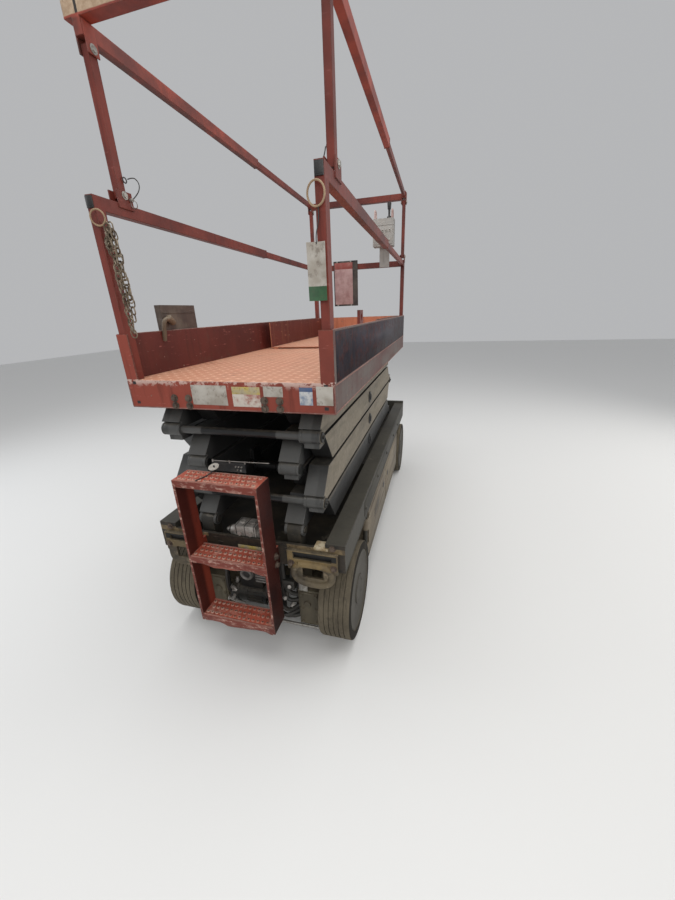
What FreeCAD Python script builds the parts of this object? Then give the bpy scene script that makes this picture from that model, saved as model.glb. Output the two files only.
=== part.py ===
import FreeCAD, Part
import os
import re

os.makedirs("parts", exist_ok=True)
doc = FreeCAD.newDocument("ScissorLift")

# Millimetres. X is to the right, Y to the steered end, Z up from the floor.
# The origin is on the floor under the middle of the bounding box.
SIZES = [
    # whole machine
    ("overallLength", 2240), ("overallWidth", 810), ("runningGap", 0.3), ("clearGap", 6), ("boreGap", 0.06),
    # wheels and axles
    ("wheelRadius", 203), ("wheelWidth", 127), ("shoulder", 10), ("frontAxleSetback", 225), ("rearAxleSetback", 180),
    ("rimRadius", 132), ("rimGap", 0.1), ("rimRecess", 14), ("rimDepth", 70), ("hubRadius", 62),
    ("spindleRadius", 24), ("axleTubeRadius", 44), ("axleTubeInset", 149), ("axleLegX", 178), ("axleLegWidth", 56),
    ("casingInside", 170), ("casingGap", 16), ("casingReach", 125), ("casingUnder", 80), ("casingTop", 262),
    ("kingpinInset", 170), ("kingpinRadius", 15), ("knuckleRadius", 34), ("knuckleHeight", 100), ("earThick", 20),
    ("axleBeamHeight", 66), ("axleBeamDepth", 72), ("axlePostWidth", 104), ("axlePostDepth", 150),
    ("steerArm", 110), ("steerArmWidth", 30), ("steerArmThick", 16), ("tieRodRadius", 11), ("tieEyeRadius", 17),
    ("tiePinRadius", 7), ("tieEyeHalf", 14),
    # chassis
    ("channelInset", 50), ("channelWidth", 74), ("chassisTop", 548), ("chassisUnder", 430), ("panThick", 10),
    ("crossThick", 12), ("bumperDepth", 24), ("bumperRise", 14),
    ("coreInset", 143), ("coreRearGap", 262), ("coreFrontGap", 265), ("coreUnder", 150),
    ("trayGap", 6), ("trayWidth", 124), ("trayEndGap", 14), ("hingePinRadius", 10), ("hingeRadius", 17),
    ("hingeInset", 27), ("hingeHeight", 60), ("hingeRise", 40), ("hingeWall", 6),
    # rear fittings
    ("ladderReach", 105), ("ladderDepth", 88), ("ladderX", -28), ("ladderWidth", 322), ("stringerThick", 9),
    ("rungLow", 205), ("rungPitch", 300), ("rungThick", 7), ("rungLip", 26), ("lipThick", 4),
    ("stringerDrop", 30), ("middleDrop", 16), ("lugOut", 38), ("lugGapRight", 39),
    ("lugGapLeft", 7), ("lugTop", 512), ("lugPlateDrop", 84),
    ("lugLipInset", 8), ("lugLipDrop", 70), ("lugThick", 10), ("lugCorner", 44), ("lugSlotEnd", 23),
    ("lugSlotHeight", 23), ("lugSlotDrop", 12), ("lugHole", 83), ("lugHoleHeight", 50), ("lugHoleDrop", 90), ("lugOffset", 16),
    ("motorRadius", 42), ("motorLength", 142), ("motorX", -32), ("motorRise", 206), ("motorSetback", 58),
    ("motorStub", 30), ("motorNeck", 30), ("motorFoot", 102), ("motorFootDepth", 40),
    ("valveWidth", 90), ("valveDepth", 60), ("valveHeight", 20), ("spoolDrop", 41), ("valveX", -8), ("spoolLeft", 34),
    ("spoolRight", 16), ("spoolRadius", 20),
    # scissor arms
    ("armSetback", 55), ("armFrontGap", 340), ("armBase", 560), ("deckOver", 64), ("armClear", 13),
    ("armWidth", 76), ("armSpacing", 86), ("armInset", 133), ("armEnd", 34), ("armSlope", 112),
    ("capSlope", 62), ("capBack", 14), ("capOver", 6),
    ("bossRadius", 24), ("bossHalf", 27.5), ("cheekThick", 10), ("armPinRadius", 14), ("pinEnd", 3), ("pinOver", 4), ("lugLength", 84),
    ("lugDepth", 44), ("crossRadius", 14.5), ("rollerRadius", 27), ("trackLength", 1090), ("trackOver", 60),
    ("centrePinRadius", 22), ("centreNut", 9), ("nutRadius", 17),
    # lift cylinder
    ("rodEyeBack", 300), ("barrelSetback", 340), ("barrelRadius", 46), ("liftRodRadius", 22), ("eyeRadius", 34),
    ("eyeHalf", 26), ("liftPinRadius", 16), ("eyeDrop", 35), ("stubEnd", 34), ("stubRadius", 24),
    ("cradleRise", 60), ("rodShown", 326), ("neckLength", 30),
    # platform
    ("platformFrontGap", 35), ("platformInset", 55), ("deckHeight", 1124), ("skirtDepth", 94),
    ("sheetThick", 5), ("floorThick", 6), ("toeHeight", 152), ("flangeWidth", 44), ("trackWidth", 70),
    ("railInset", 21.5), ("railTube", 38), ("railWide", 26), ("railWall", 3), ("midRail", 545), ("topRail", 978),
    ("mainRailLength", 1160), ("slideTube", 30), ("slideWide", 17), ("barOver", 26), ("slideBack", 92),
    ("upperPostSetback", 130), ("upperPostWide", 22), ("upperPostDeep", 28), ("shoeLength", 60), ("shoeThick", 4),
    ("shoeDrop", 14), ("shoeRise", 36), ("foldRise", 24), ("foldDrop", 22), ("earDrop", 14), ("foldPinRadius", 6),
    ("foldPinOver", 3), ("postHeel", 9),
    ("padRise", 5.7), ("deckSheet", 5), ("deckInset", 55), ("deckLength", 1050), ("padWidth", 30), ("nose", 8),
    # fittings on the platform
    ("boxInset", 138), ("boxWidth", 150), ("boxHeight", 176), ("boxDepth", 90), ("boxRise", 816),
    ("boardX", -92), ("boardWidth", 196), ("boardHeight", 330), ("boardThick", 8), ("boardRise", 570),
    ("sideBoxStart", 232), ("sideBoxLength", 210), ("sideBoxSink", 10), ("sideBoxHeight", 104),
    ("sideBoxDepth", 26), ("chainSink", 69), ("chainDrop", 372), ("chainWidth", 30),
    ("anchorLength", 60), ("anchorThick", 10), ("anchorRise", 50), ("anchorDrop", 44), ("anchorBore", 12.5),
    ("anchorBoreRise", 24), ("anchorY", 420),
]

# Sizes that follow from the ones above.
WORKED = [
    ("halfWidth", "=overallWidth/2"), ("channelX", "=halfWidth - channelInset"),
    ("kingpinX", "=halfWidth - kingpinInset"), ("axleTubeHalf", "=halfWidth - axleTubeInset"),
    ("coreHalf", "=halfWidth - coreInset"), ("hingeX", "=halfWidth - hingeInset"),
    ("outerArmX", "=halfWidth - armInset"), ("innerArmX", "=outerArmX - armSpacing"),
    ("chassisLength", "=overallLength - ladderReach"), ("armReach", "=chassisLength - armSetback - armFrontGap"),
    ("levelPitch", "=(deckHeight - deckOver - armBase)/4"), ("armDepth", "=levelPitch - armClear"),
    ("eyeReach", "=armReach - barrelSetback - rodEyeBack"), ("barrelLength", "=eyeReach - rodShown"),
    ("lugRightWidth", "=halfWidth - lugOut - ladderX - ladderWidth/2 - lugGapRight"),
    ("lugRightX", "=halfWidth - lugOut - lugRightWidth/2"),
    ("lugLeftWidth", "=halfWidth - lugOut + ladderX - ladderWidth/2 - lugGapLeft"),
    ("lugLeftX", "=halfWidth - lugOut - lugLeftWidth/2"), ("lugLipWidth", "=lugLeftWidth - lugLipInset"),
    ("platformLength", "=chassisLength - platformFrontGap"), ("platformWidth", "=overallWidth - platformInset"),
    ("skirtUnder", "=deckHeight - skirtDepth"), ("railX", "=platformWidth/2 - railInset"),
    ("boxX", "=railX - boxInset"), ("boxTop", "=deckHeight + boxRise"), ("boardTop", "=deckHeight + boardRise"),
    ("sideBoxUnder", "=deckHeight + toeHeight - sideBoxSink"), ("chainTop", "=deckHeight + midRail - chainSink"),
]

sheet = doc.addObject("Spreadsheet::Sheet", "Sizes")
for row, (alias, number) in enumerate(SIZES + WORKED, start=1):
    sheet.set(f"A{row}", alias)
    sheet.set(f"B{row}", str(number))
    sheet.setAlias(f"B{row}", alias)
doc.recompute()
ALIASES = {alias for alias, number in SIZES + WORKED}
NODES = []

# Places along Y and Z that several pieces share, as expressions of the sizes.
REAR = "(ladderReach - overallLength/2)"
FRONT = "(overallLength/2)"
DECKEND = f"({REAR} + platformLength)"
NEAR = f"({REAR} + armSetback)"
FAR = f"({NEAR} + armReach)"
MIDARM = f"({NEAR} + armReach/2)"
REARAXLE = f"({REAR} + rearAxleSetback)"
FRONTAXLE = f"({FRONT} - frontAxleSetback)"
WHEELX = "(overallWidth/2 - wheelWidth/2)"
PAN = "(chassisUnder + panThick)"
MIDTOP = "(deckHeight + midRail)"
TOPTOP = "(deckHeight + topRail)"
LOWPIN = f"({MIDTOP} + foldRise)"
HIGHPIN = f"({TOPTOP} - railTube - foldDrop)"
MAINEND = f"({REAR} + mainRailLength)"
SIDES = (("left", "-1"), ("right", "1"))


def level(k):
    return f"(armBase + {k}*levelPitch)"


def bind(obj, path, text):
    names = re.sub(r"[A-Za-z]\w*", lambda m: "Sizes." + m.group(0) if m.group(0) in ALIASES else m.group(0), text)
    obj.setExpression(path, names)


def place(obj, x, y, z):
    for axis, text in zip("xyz", (x, y, z)):
        bind(obj, "Placement.Base." + axis, text)


# A box from a middle and a width across, and from-to along Y and Z.
def block(x, width, y0, y1, z0, z1):
    obj = doc.addObject("Part::Box", "Block")
    bind(obj, "Length", width)
    bind(obj, "Width", f"({y1}) - ({y0})")
    bind(obj, "Height", f"({z1}) - ({z0})")
    place(obj, f"({x}) - ({width})/2", y0, z0)
    return obj


TURNS = {
    "x": FreeCAD.Rotation(FreeCAD.Vector(0, 1, 0), 90),
    "y": FreeCAD.Rotation(FreeCAD.Vector(1, 0, 0), -90),
    "z": FreeCAD.Rotation(),
}


# A round bar along an axis, from its start to its length.
def bar(axis, x, y, z, radius, length):
    obj = doc.addObject("Part::Cylinder", "Bar")
    obj.Placement = FreeCAD.Placement(FreeCAD.Vector(), TURNS[axis])
    bind(obj, "Radius", radius)
    bind(obj, "Height", length)
    place(obj, x, y, z)
    return obj


# A round bar across, given by its middle and its half length.
def across(x, half, y, z, radius):
    return bar("x", f"({x}) - ({half})", y, z, radius, f"2*({half})")


def taper(x, y, z, radius, end, length, turn):
    obj = doc.addObject("Part::Cone", "Taper")
    obj.Placement = FreeCAD.Placement(FreeCAD.Vector(), turn)
    bind(obj, "Radius1", radius)
    bind(obj, "Radius2", end)
    bind(obj, "Height", length)
    place(obj, x, y, z)
    return obj


# A beam whose low and high edges start and end at different places along Y.
def slopedBeam(x, width, low, high, z0, z1):
    obj = doc.addObject("Part::Wedge", "Beam")
    obj.Placement = FreeCAD.Placement(FreeCAD.Vector(), FreeCAD.Rotation(FreeCAD.Vector(1, 0, 0), 90))
    for name, text in (("Xmin", f"-({width})/2"), ("X2min", f"-({width})/2"), ("Xmax", f"({width})/2"),
                       ("X2max", f"({width})/2"), ("Ymin", "0"), ("Ymax", f"({z1}) - ({z0})"),
                       ("Zmin", f"-({low[1]})"), ("Zmax", f"-({low[0]})"),
                       ("Z2min", f"-({high[1]})"), ("Z2max", f"-({high[0]})")):
        bind(obj, name, text)
    place(obj, x, "0", z0)
    return obj


def join(pieces, refine=True):
    obj = doc.addObject("Part::MultiFuse", "Join")
    obj.Shapes = pieces
    obj.Refine = refine
    return obj


def cut(base, tools):
    obj = doc.addObject("Part::Cut", "Cut")
    obj.Base = base
    obj.Tool = tools[0] if len(tools) == 1 else join(tools)
    return obj


def apart(pieces):
    obj = doc.addObject("Part::Compound", "Set")
    obj.Links = pieces
    return obj


def node(label, obj):
    obj.Label = label
    NODES.append(obj)
    return obj


# Chassis frame: side channels, pan, cross plates, roller tracks and the lowest pivots of the arms.
def chassisFrame():
    pieces = [block("0", "2*channelX", REAR, f"{FRONT} - bumperDepth", "chassisUnder", PAN)]
    pieces.append(block("0", "2*channelX", REAR, f"{REAR} + crossThick", "chassisUnder", "lugTop + bumperRise"))
    pieces.append(block("0", "2*channelX + channelWidth", f"{FRONT} - bumperDepth", FRONT, "chassisUnder",
                        "chassisTop + bumperRise"))
    pieces.append(block("0", "2*coreHalf", f"{REARAXLE} + coreRearGap", f"{FRONTAXLE} - coreFrontGap",
                        "coreUnder", "chassisUnder"))
    for side, sign in SIDES:
        pieces.append(block(f"{sign}*channelX", "channelWidth", REAR, f"{FRONT} - bumperDepth",
                            "chassisUnder", "chassisTop"))
        pieces.append(block(f"{sign}*outerArmX", "armWidth", f"{FAR} + trackOver - trackLength",
                            f"{FAR} + trackOver", "chassisUnder", "armBase - rollerRadius - runningGap"))
        pieces.append(block(f"{sign}*innerArmX", "2*bossHalf", f"{NEAR} - bossRadius", f"{NEAR} + bossRadius",
                            "chassisUnder", "armBase"))
        pieces.append(across(f"{sign}*innerArmX", "bossHalf", NEAR, "armBase", "bossRadius"))
        pieces.append(across(f"{sign}*innerArmX", "bossHalf + cheekThick + 4", NEAR, "armBase", "armPinRadius"))
        # vertical pin that carries the swing-out tray
        pieces.append(bar("z", f"{sign}*hingeX", f"{REARAXLE} + coreRearGap", "coreUnder", "hingePinRadius",
                          "chassisUnder - coreUnder"))
        pieces.append(block(f"{sign}*(coreHalf + hingeX)/2", "hingeX - coreHalf", f"{REARAXLE} + coreRearGap - hingeWall/2",
                            f"{REARAXLE} + coreRearGap + hingeWall/2", "coreUnder", "coreUnder + hingeWall"))
    node("chassis_frame", join(pieces))


# Rear axle: a tube under two legs, with a spindle at each end.
def rearAxle():
    casingOut = "(halfWidth - wheelWidth - casingGap)"
    pieces = [across("0", "axleTubeHalf", REARAXLE, "wheelRadius", "axleTubeRadius")]
    pieces.append(across("0", f"{WHEELX} + rimDepth/2", REARAXLE, "wheelRadius", "spindleRadius"))
    for side, sign in SIDES:
        pieces.append(block(f"{sign}*axleLegX", "axleLegWidth", f"{REARAXLE} - axleTubeRadius",
                            f"{REARAXLE} + axleTubeRadius", "wheelRadius", "chassisUnder"))
        # drive motor casing behind the axle tube, beside the tyre
        pieces.append(block(f"{sign}*(casingInside + {casingOut})/2", f"{casingOut} - casingInside",
                            f"{REARAXLE} - casingReach", REARAXLE, "casingUnder", "casingTop"))
    node("rear_axle", join(pieces))


# Front axle: a centre post, a beam and a pair of ears round each kingpin.
def frontAxle():
    low = "wheelRadius - knuckleHeight/2 - earThick - 0.5"
    high = "wheelRadius + knuckleHeight/2 + 0.5"
    yoke = "kingpinX - knuckleRadius - clearGap"
    pieces = [block("0", "axlePostWidth", f"{FRONTAXLE} - axlePostDepth/2", f"{FRONTAXLE} + axlePostDepth/2",
                    "wheelRadius", "chassisUnder")]
    pieces.append(block("0", f"2*({yoke})", f"{FRONTAXLE} - axleBeamDepth/2", f"{FRONTAXLE} + axleBeamDepth/2",
                        "wheelRadius - axleBeamHeight/2", "wheelRadius + axleBeamHeight/2"))
    bores = []
    for side, sign in SIDES:
        pieces.append(block(f"{sign}*({yoke} - earThick)", "2*earThick", f"{FRONTAXLE} - knuckleRadius",
                            f"{FRONTAXLE} + knuckleRadius", low, f"{high} + earThick"))
        for under in (low, high):
            pieces.append(bar("z", f"{sign}*kingpinX", FRONTAXLE, under, "knuckleRadius", "earThick"))
            pieces.append(block(f"{sign}*(kingpinX + {yoke})/2", f"kingpinX - ({yoke})",
                                f"{FRONTAXLE} - knuckleRadius", f"{FRONTAXLE} + knuckleRadius",
                                under, f"{under} + earThick"))
        bores.append(bar("z", f"{sign}*kingpinX", FRONTAXLE, f"{low} - 1", "kingpinRadius + boreGap",
                         "knuckleHeight + 2*earThick + 3"))
    node("front_axle", cut(join(pieces), bores))


# Steering knuckle: a boss on its kingpin, a spindle outwards and a steering arm to the rear, under the axle.
def knuckle(side, sign):
    low = "wheelRadius - knuckleHeight/2"
    armTop = f"({low} - earThick - clearGap)"
    armLow = f"({armTop} - steerArmThick)"
    pieces = [bar("z", f"{sign}*kingpinX", FRONTAXLE, low, "knuckleRadius", "knuckleHeight")]
    pieces.append(bar("z", f"{sign}*kingpinX", FRONTAXLE, armLow, "kingpinRadius",
                      f"knuckleHeight + 2*earThick + clearGap + steerArmThick"))
    pieces.append(across(f"{sign}*(kingpinX + {WHEELX} + rimDepth/2)/2", f"({WHEELX} + rimDepth/2 - kingpinX)/2",
                         FRONTAXLE, "wheelRadius", "spindleRadius"))
    pieces.append(bar("z", f"{sign}*kingpinX", FRONTAXLE, armLow, "steerArmWidth/2 + 5", "steerArmThick"))
    pieces.append(block(f"{sign}*kingpinX", "steerArmWidth", f"{FRONTAXLE} - steerArm", FRONTAXLE, armLow, armTop))
    pieces.append(bar("z", f"{sign}*kingpinX", f"{FRONTAXLE} - steerArm", armLow, "steerArmWidth/2", "steerArmThick"))
    pieces.append(bar("z", f"{sign}*kingpinX", f"{FRONTAXLE} - steerArm", f"{armLow} - 2*tieEyeHalf - 3",
                      "tiePinRadius", "2*tieEyeHalf + 5"))
    node("knuckle_" + side, join(pieces))


def tieRod():
    middle = "(wheelRadius - knuckleHeight/2 - earThick - clearGap - steerArmThick - tieEyeHalf - 0.5)"
    y = f"({FRONTAXLE} - steerArm)"
    pieces = [across("0", "kingpinX - tieEyeRadius/2", y, middle, "tieRodRadius")]
    bores = []
    for side, sign in SIDES:
        pieces.append(bar("z", f"{sign}*kingpinX", y, f"{middle} - tieEyeHalf", "tieEyeRadius", "2*tieEyeHalf"))
        bores.append(bar("z", f"{sign}*kingpinX", y, f"{middle} - 2*tieEyeHalf", "tiePinRadius + boreGap",
                         "4*tieEyeHalf"))
    node("tie_rod", cut(join(pieces), bores))


# Solid tyre with bevelled shoulders, and the hub disc inside it.
def wheel(label, sign, axle):
    out = FreeCAD.Rotation(FreeCAD.Vector(0, 1, 0), 90)
    flat = "(wheelWidth/2 - shoulder)"
    pieces = [across(f"{sign}*{WHEELX}", flat, axle, "wheelRadius", "wheelRadius")]
    for start, wide, narrow in ((f"{sign}*{WHEELX} + {flat}", "wheelRadius", "wheelRadius - shoulder"),
                                (f"{sign}*{WHEELX} - wheelWidth/2", "wheelRadius - shoulder", "wheelRadius")):
        pieces.append(taper(start, axle, "wheelRadius", wide, narrow, "shoulder", out))
    bore = across(f"{sign}*{WHEELX}", "wheelWidth", axle, "wheelRadius", "rimRadius")
    node("tyre_" + label, cut(join(pieces), [bore]))
    outer = f"({sign}*(overallWidth/2 - rimRecess - rimDepth/2))"
    face = f"({sign}*(overallWidth/2 - rimRecess))"
    disc = [across(outer, "rimDepth/2", axle, "wheelRadius", "rimRadius - rimGap"),
            across(f"{sign}*(overallWidth/2 - rimRecess/2 - 4)", "rimRecess/2 + 2", axle, "wheelRadius", "hubRadius")]
    hole = across(f"{sign}*({WHEELX} - wheelWidth/2)", f"{WHEELX} + rimDepth/2 + 1 - ({WHEELX} - wheelWidth/2)",
                  axle, "wheelRadius", "spindleRadius + boreGap")
    hub = cut(join(disc), [hole])
    node("hub_" + label, hub)


# Swing-out tray on each flank, hung on the vertical pin by two hinge eyes.
def tray(side, sign):
    y = f"({REARAXLE} + coreRearGap)"
    middle = f"{sign}*(coreHalf + trayGap + trayWidth/2)"
    pieces = [block(middle, "trayWidth", f"{y} + trayEndGap", f"{FRONTAXLE} - coreFrontGap", "coreUnder + 10",
                    "chassisUnder - trayGap")]
    low = "(coreUnder + hingeRise)"
    high = "(chassisUnder - hingeRise - hingeHeight)"
    for z in (low, high):
        pieces.append(bar("z", f"{sign}*hingeX", y, z, "hingeRadius", "hingeHeight"))
    bore = bar("z", f"{sign}*hingeX", y, "coreUnder", "hingePinRadius + boreGap", "chassisUnder - coreUnder")
    node("tray_" + side, cut(join(pieces), [bore]))


# Entry ladder: two flat stringers and three lipped rungs, bolted to the rear plate.
def ladder():
    pieces = []
    for sign in ("-1", "1"):
        x = f"ladderX + {sign}*(ladderWidth - stringerThick)/2"
        pieces.append(block(x, "stringerThick", f"-{FRONT}", f"-{FRONT} + ladderDepth", "rungLow - stringerDrop",
                            "rungLow + 2*rungPitch"))
        pieces.append(block(x, "stringerThick", f"-{FRONT}", REAR, "chassisUnder + 4", "lugTop"))
    for step in range(3):
        top = f"(rungLow + {step}*rungPitch - middleDrop)" if step == 1 else f"(rungLow + {step}*rungPitch)"
        pieces.append(block("ladderX", "ladderWidth", f"-{FRONT}", f"-{FRONT} + ladderDepth", f"{top} - rungThick", top))
        for y in (f"-{FRONT}", f"-{FRONT} + ladderDepth - lipThick"):
            pieces.append(block("ladderX", "ladderWidth", y, f"{y} + lipThick", f"{top} - rungLip", top))
    node("entry_ladder", join(pieces))


# Tie-down plates at the rear corners: a long slot over a rounded lip with an oblong hole.
def tieDowns():
    plates = []
    y0 = f"({REAR} - lugOffset)"
    y1 = f"({REAR} - lugOffset + lugThick)"
    lipTop = "(lugTop - lugPlateDrop)"
    for x, width in (("-lugLeftX", "lugLeftWidth"), ("lugRightX", "lugRightWidth")):
        solid = [block(x, width, y0, y1, lipTop, "lugTop"),
                 block(x, "lugLipWidth", y0, y1, f"{lipTop} - lugLipDrop + lugCorner", lipTop),
                 block(x, "lugLipWidth - 2*lugCorner", y0, y1, f"{lipTop} - lugLipDrop", lipTop),
                 block(x, width, y1, REAR, "lugTop - lugSlotDrop + 4", "lugTop")]
        for turn in ("-1", "1"):
            solid.append(bar("y", f"{x} + {turn}*(lugLipWidth/2 - lugCorner)", y0,
                             f"{lipTop} - lugLipDrop + lugCorner", "lugCorner", "lugThick"))
        holes = [block(x, f"{width} - 2*lugSlotEnd", f"{y0} - 1", f"{y1} + 1",
                       "lugTop - lugSlotDrop - lugSlotHeight", "lugTop - lugSlotDrop"),
                 block(x, "lugHole", f"{y0} - 1", f"{y1} + 1", "lugTop - lugHoleDrop - lugHoleHeight/2",
                       "lugTop - lugHoleDrop + lugHoleHeight/2")]
        plates.append(cut(join(solid), holes))
    node("tie_down_plates", apart(plates))


# Drive pump and motor behind the lower rungs, and the valve block on the rear plate.
def hydraulics():
    y = f"({REAR} + motorSetback)"
    start = "motorX - motorLength/2"
    pump = [bar("x", start, y, "motorRise", "motorRadius", "motorLength"),
            bar("x", f"{start} - motorStub", y, "motorRise", "motorNeck", "motorLength + 2*motorStub"),
            block("motorX", "motorFoot", f"{y} - motorFootDepth/2", f"{y} + motorFootDepth/2", "motorRise", "chassisUnder")]
    node("drive_pump", join(pump))
    back = f"({REAR} + crossThick)"
    valve = [block("valveX", "valveWidth", back, f"{back} + valveDepth", PAN, "chassisTop + valveHeight"),
             bar("x", "valveX - valveWidth/2 - spoolLeft", f"{back} + valveDepth/2", "chassisTop + valveHeight - spoolDrop",
                 "spoolRadius", "valveWidth + spoolLeft + spoolRight")]
    node("valve_block", join(valve))


# One pair of arms. A rising pair goes up from the near end to the far end, a falling pair comes down.
# Its low end carries cheeks round the boss of the arm below, its high end a boss, a pin and a cross tube.
def armPair(x, number, rising, roller, tube):
    low, high = level(number - 1), level(number)
    play = "(levelPitch - armDepth)/2"
    lowY, highY = (NEAR, FAR) if rising else (FAR, NEAR)
    steep = (f"{NEAR} + armEnd", f"{FAR} - armSlope")
    flat = (f"{NEAR} + armSlope", f"{FAR} - armEnd")
    lowSpan, highSpan = (steep, flat) if rising else (flat, steep)
    endRadius = "rollerRadius" if roller == "high" else "bossRadius"
    pieces, bores = [], []
    for side, sign in SIDES:
        middle = f"{sign}*{x}"
        pieces.append(slopedBeam(middle, "armWidth", lowSpan, highSpan, f"{low} + {play}", f"{high} - {play}"))
        if rising:
            # the closed end that comes down over the boss of the arm below
            over = f"{NEAR} + armSlope + capOver"
            pieces.append(slopedBeam(middle, "armWidth", (f"{NEAR} - capBack", over), (f"{NEAR} + capSlope", over),
                                     f"{low} + bossRadius + capOver", f"{high} - {play}"))
        for face in ("-1", "1"):
            cheek = f"{middle} + {face}*(armWidth - cheekThick)/2"
            pieces.append(across(cheek, "cheekThick/2", lowY, low, "bossRadius"))
            for length, under in (("lugLength", play), ("bossRadius - 2", "0")):
                y0, y1 = (lowY, f"{lowY} + {length}") if rising else (f"{lowY} - {length}", lowY)
                pieces.append(block(cheek, "cheekThick", y0, y1, f"{low} + {under}", f"{low} + lugDepth"))
        y0, y1 = (f"{highY} - lugLength", highY) if rising else (highY, f"{highY} + lugLength")
        pieces.append(across(middle, "bossHalf", highY, high, endRadius))
        pieces.append(block(middle, "2*bossHalf", y0, y1, f"{high} - lugDepth", f"{high} - {play} - 1"))
        if roller == "low":
            pieces.append(across(middle, "bossHalf", lowY, low, "rollerRadius"))
            pieces.append(across(middle, "armWidth/2", lowY, low, "armPinRadius"))
        else:
            bores.append(across(middle, "armWidth/2 + 1", lowY, low, "armPinRadius + boreGap"))
        if x == "outerArmX":
            pin = "(innerArmX - armWidth/2 - pinOver)"
            pieces.append(across(f"{sign}*({pin} + {x})/2", f"({x} - {pin})/2", MIDARM, f"{low} + levelPitch/2",
                                 "centrePinRadius"))
            nut = f"({x} + armWidth/2 + centreNut)"
            pieces.append(across(f"{sign}*({nut} + {x})/2", f"({nut} - {x})/2", MIDARM, f"{low} + levelPitch/2",
                                 "nutRadius"))
        else:
            bores.append(across(middle, "armWidth/2 + 1", MIDARM, f"{low} + levelPitch/2",
                                "centrePinRadius + boreGap"))
    body = cut(join(pieces), bores) if bores else join(pieces)
    pins = [body]
    if tube:
        half = f"{x} - bossHalf + pinOver" if roller == "high" else f"{x} - armWidth/2 - 1"
        pins.append(across("0", half, highY, high, "crossRadius"))
    if tube and roller != "high":
        pins.append(across("0", f"{x} + armWidth/2 + pinEnd", highY, high, "armPinRadius"))
    elif not tube:
        for side, sign in SIDES:
            pins.append(across(f"{sign}*{x}", "armWidth/2 + pinEnd", highY, high, "armPinRadius"))
    return pins


def armNode(label, x, number, rising, roller=None, tube=True, extra=()):
    node(label, join(armPair(x, number, rising, roller, tube) + list(extra)))


# Lift cylinder: its barrel is pinned to the second inner arms, its rod's eye stands between stubs of the first.
LIFTZ = f"({level(1)} - eyeDrop)"
ROD = f"({FAR} - rodEyeBack)"
BARREL = f"({NEAR} + barrelSetback)"


def rodStubs():
    stubs = []
    for side, sign in SIDES:
        inside = "(innerArmX - armWidth/2 + 2)"
        stubs.append(across(f"{sign}*(stubEnd + {inside})/2", f"({inside} - stubEnd)/2", ROD, LIFTZ, "stubRadius"))
    return stubs


def barrelCradle():
    face = "(innerArmX - armWidth/2)"
    pieces = [across("0", "stubEnd + 2", BARREL, LIFTZ, "liftPinRadius")]
    for side, sign in SIDES:
        plate = f"{sign}*({face} - clearGap - cheekThick/2)"
        pieces.append(across(plate, "cheekThick/2", BARREL, LIFTZ, "eyeRadius"))
        pieces.append(block(plate, "cheekThick", f"{BARREL} - eyeRadius", f"{BARREL} + eyeRadius", LIFTZ,
                            f"{level(1)} + cradleRise"))
        pieces.append(block(f"{sign}*({face} - clearGap/2)", "clearGap + 0.02", f"{BARREL} - eyeRadius",
                            f"{BARREL} + eyeRadius", f"{level(1)} + (levelPitch - armDepth)/2 + 2",
                            f"{level(1)} + cradleRise"))
        inside = f"({face} - clearGap - cheekThick + 2)"
        pieces.append(across(f"{sign}*(stubEnd + {inside})/2", f"({inside} - stubEnd)/2", BARREL, LIFTZ, "stubRadius"))
    return pieces


def liftCylinder():
    barrel = [across("0", "eyeHalf", BARREL, LIFTZ, "eyeRadius"),
              bar("y", "0", f"{BARREL} + liftPinRadius + 3", LIFTZ, "eyeHalf", "neckLength"),
              bar("y", "0", f"{BARREL} + stubRadius + clearGap", LIFTZ, "barrelRadius", "barrelLength")]
    bores = [across("0", "eyeHalf + 1", BARREL, LIFTZ, "liftPinRadius + boreGap"),
             bar("y", "0", f"{BARREL} + eyeRadius + 12", LIFTZ, "liftRodRadius + boreGap", "barrelLength")]
    node("lift_barrel", cut(join(barrel), bores))
    rod = [bar("y", "0", f"{BARREL} + eyeRadius + 16", LIFTZ, "liftRodRadius",
               f"{ROD} - {BARREL} - eyeRadius - 16 - liftPinRadius - 2"),
           across("0", "eyeHalf", ROD, LIFTZ, "eyeRadius - 4")]
    node("lift_rod", cut(join(rod), [across("0", "eyeHalf + 1", ROD, LIFTZ, "liftPinRadius + boreGap")]))


# Platform floor with the tracks for the upper rollers and the cheeks for the highest pivots.
def platformFloor():
    under = "(deckHeight - floorThick)"
    pieces = [block("0", "platformWidth - 2*sheetThick", f"{REAR} + sheetThick", DECKEND, under, "deckHeight")]
    bores = []
    for side, sign in SIDES:
        pieces.append(block(f"{sign}*outerArmX", "trackWidth", f"{FAR} + trackOver - trackLength",
                            f"{FAR} + trackOver", f"{level(4)} + rollerRadius + runningGap", under))
        for face in ("-1", "1"):
            cheek = f"{sign}*innerArmX + {face}*(armWidth - cheekThick)/2"
            pieces.append(across(cheek, "cheekThick/2", NEAR, level(4), "bossRadius"))
            pieces.append(block(cheek, "cheekThick", f"{NEAR} - bossRadius", f"{NEAR} + bossRadius", level(4), under))
        bores.append(across(f"{sign}*innerArmX", "armWidth", NEAR, level(4), "armPinRadius + boreGap"))
    node("platform_floor", cut(join(pieces), bores))


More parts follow.
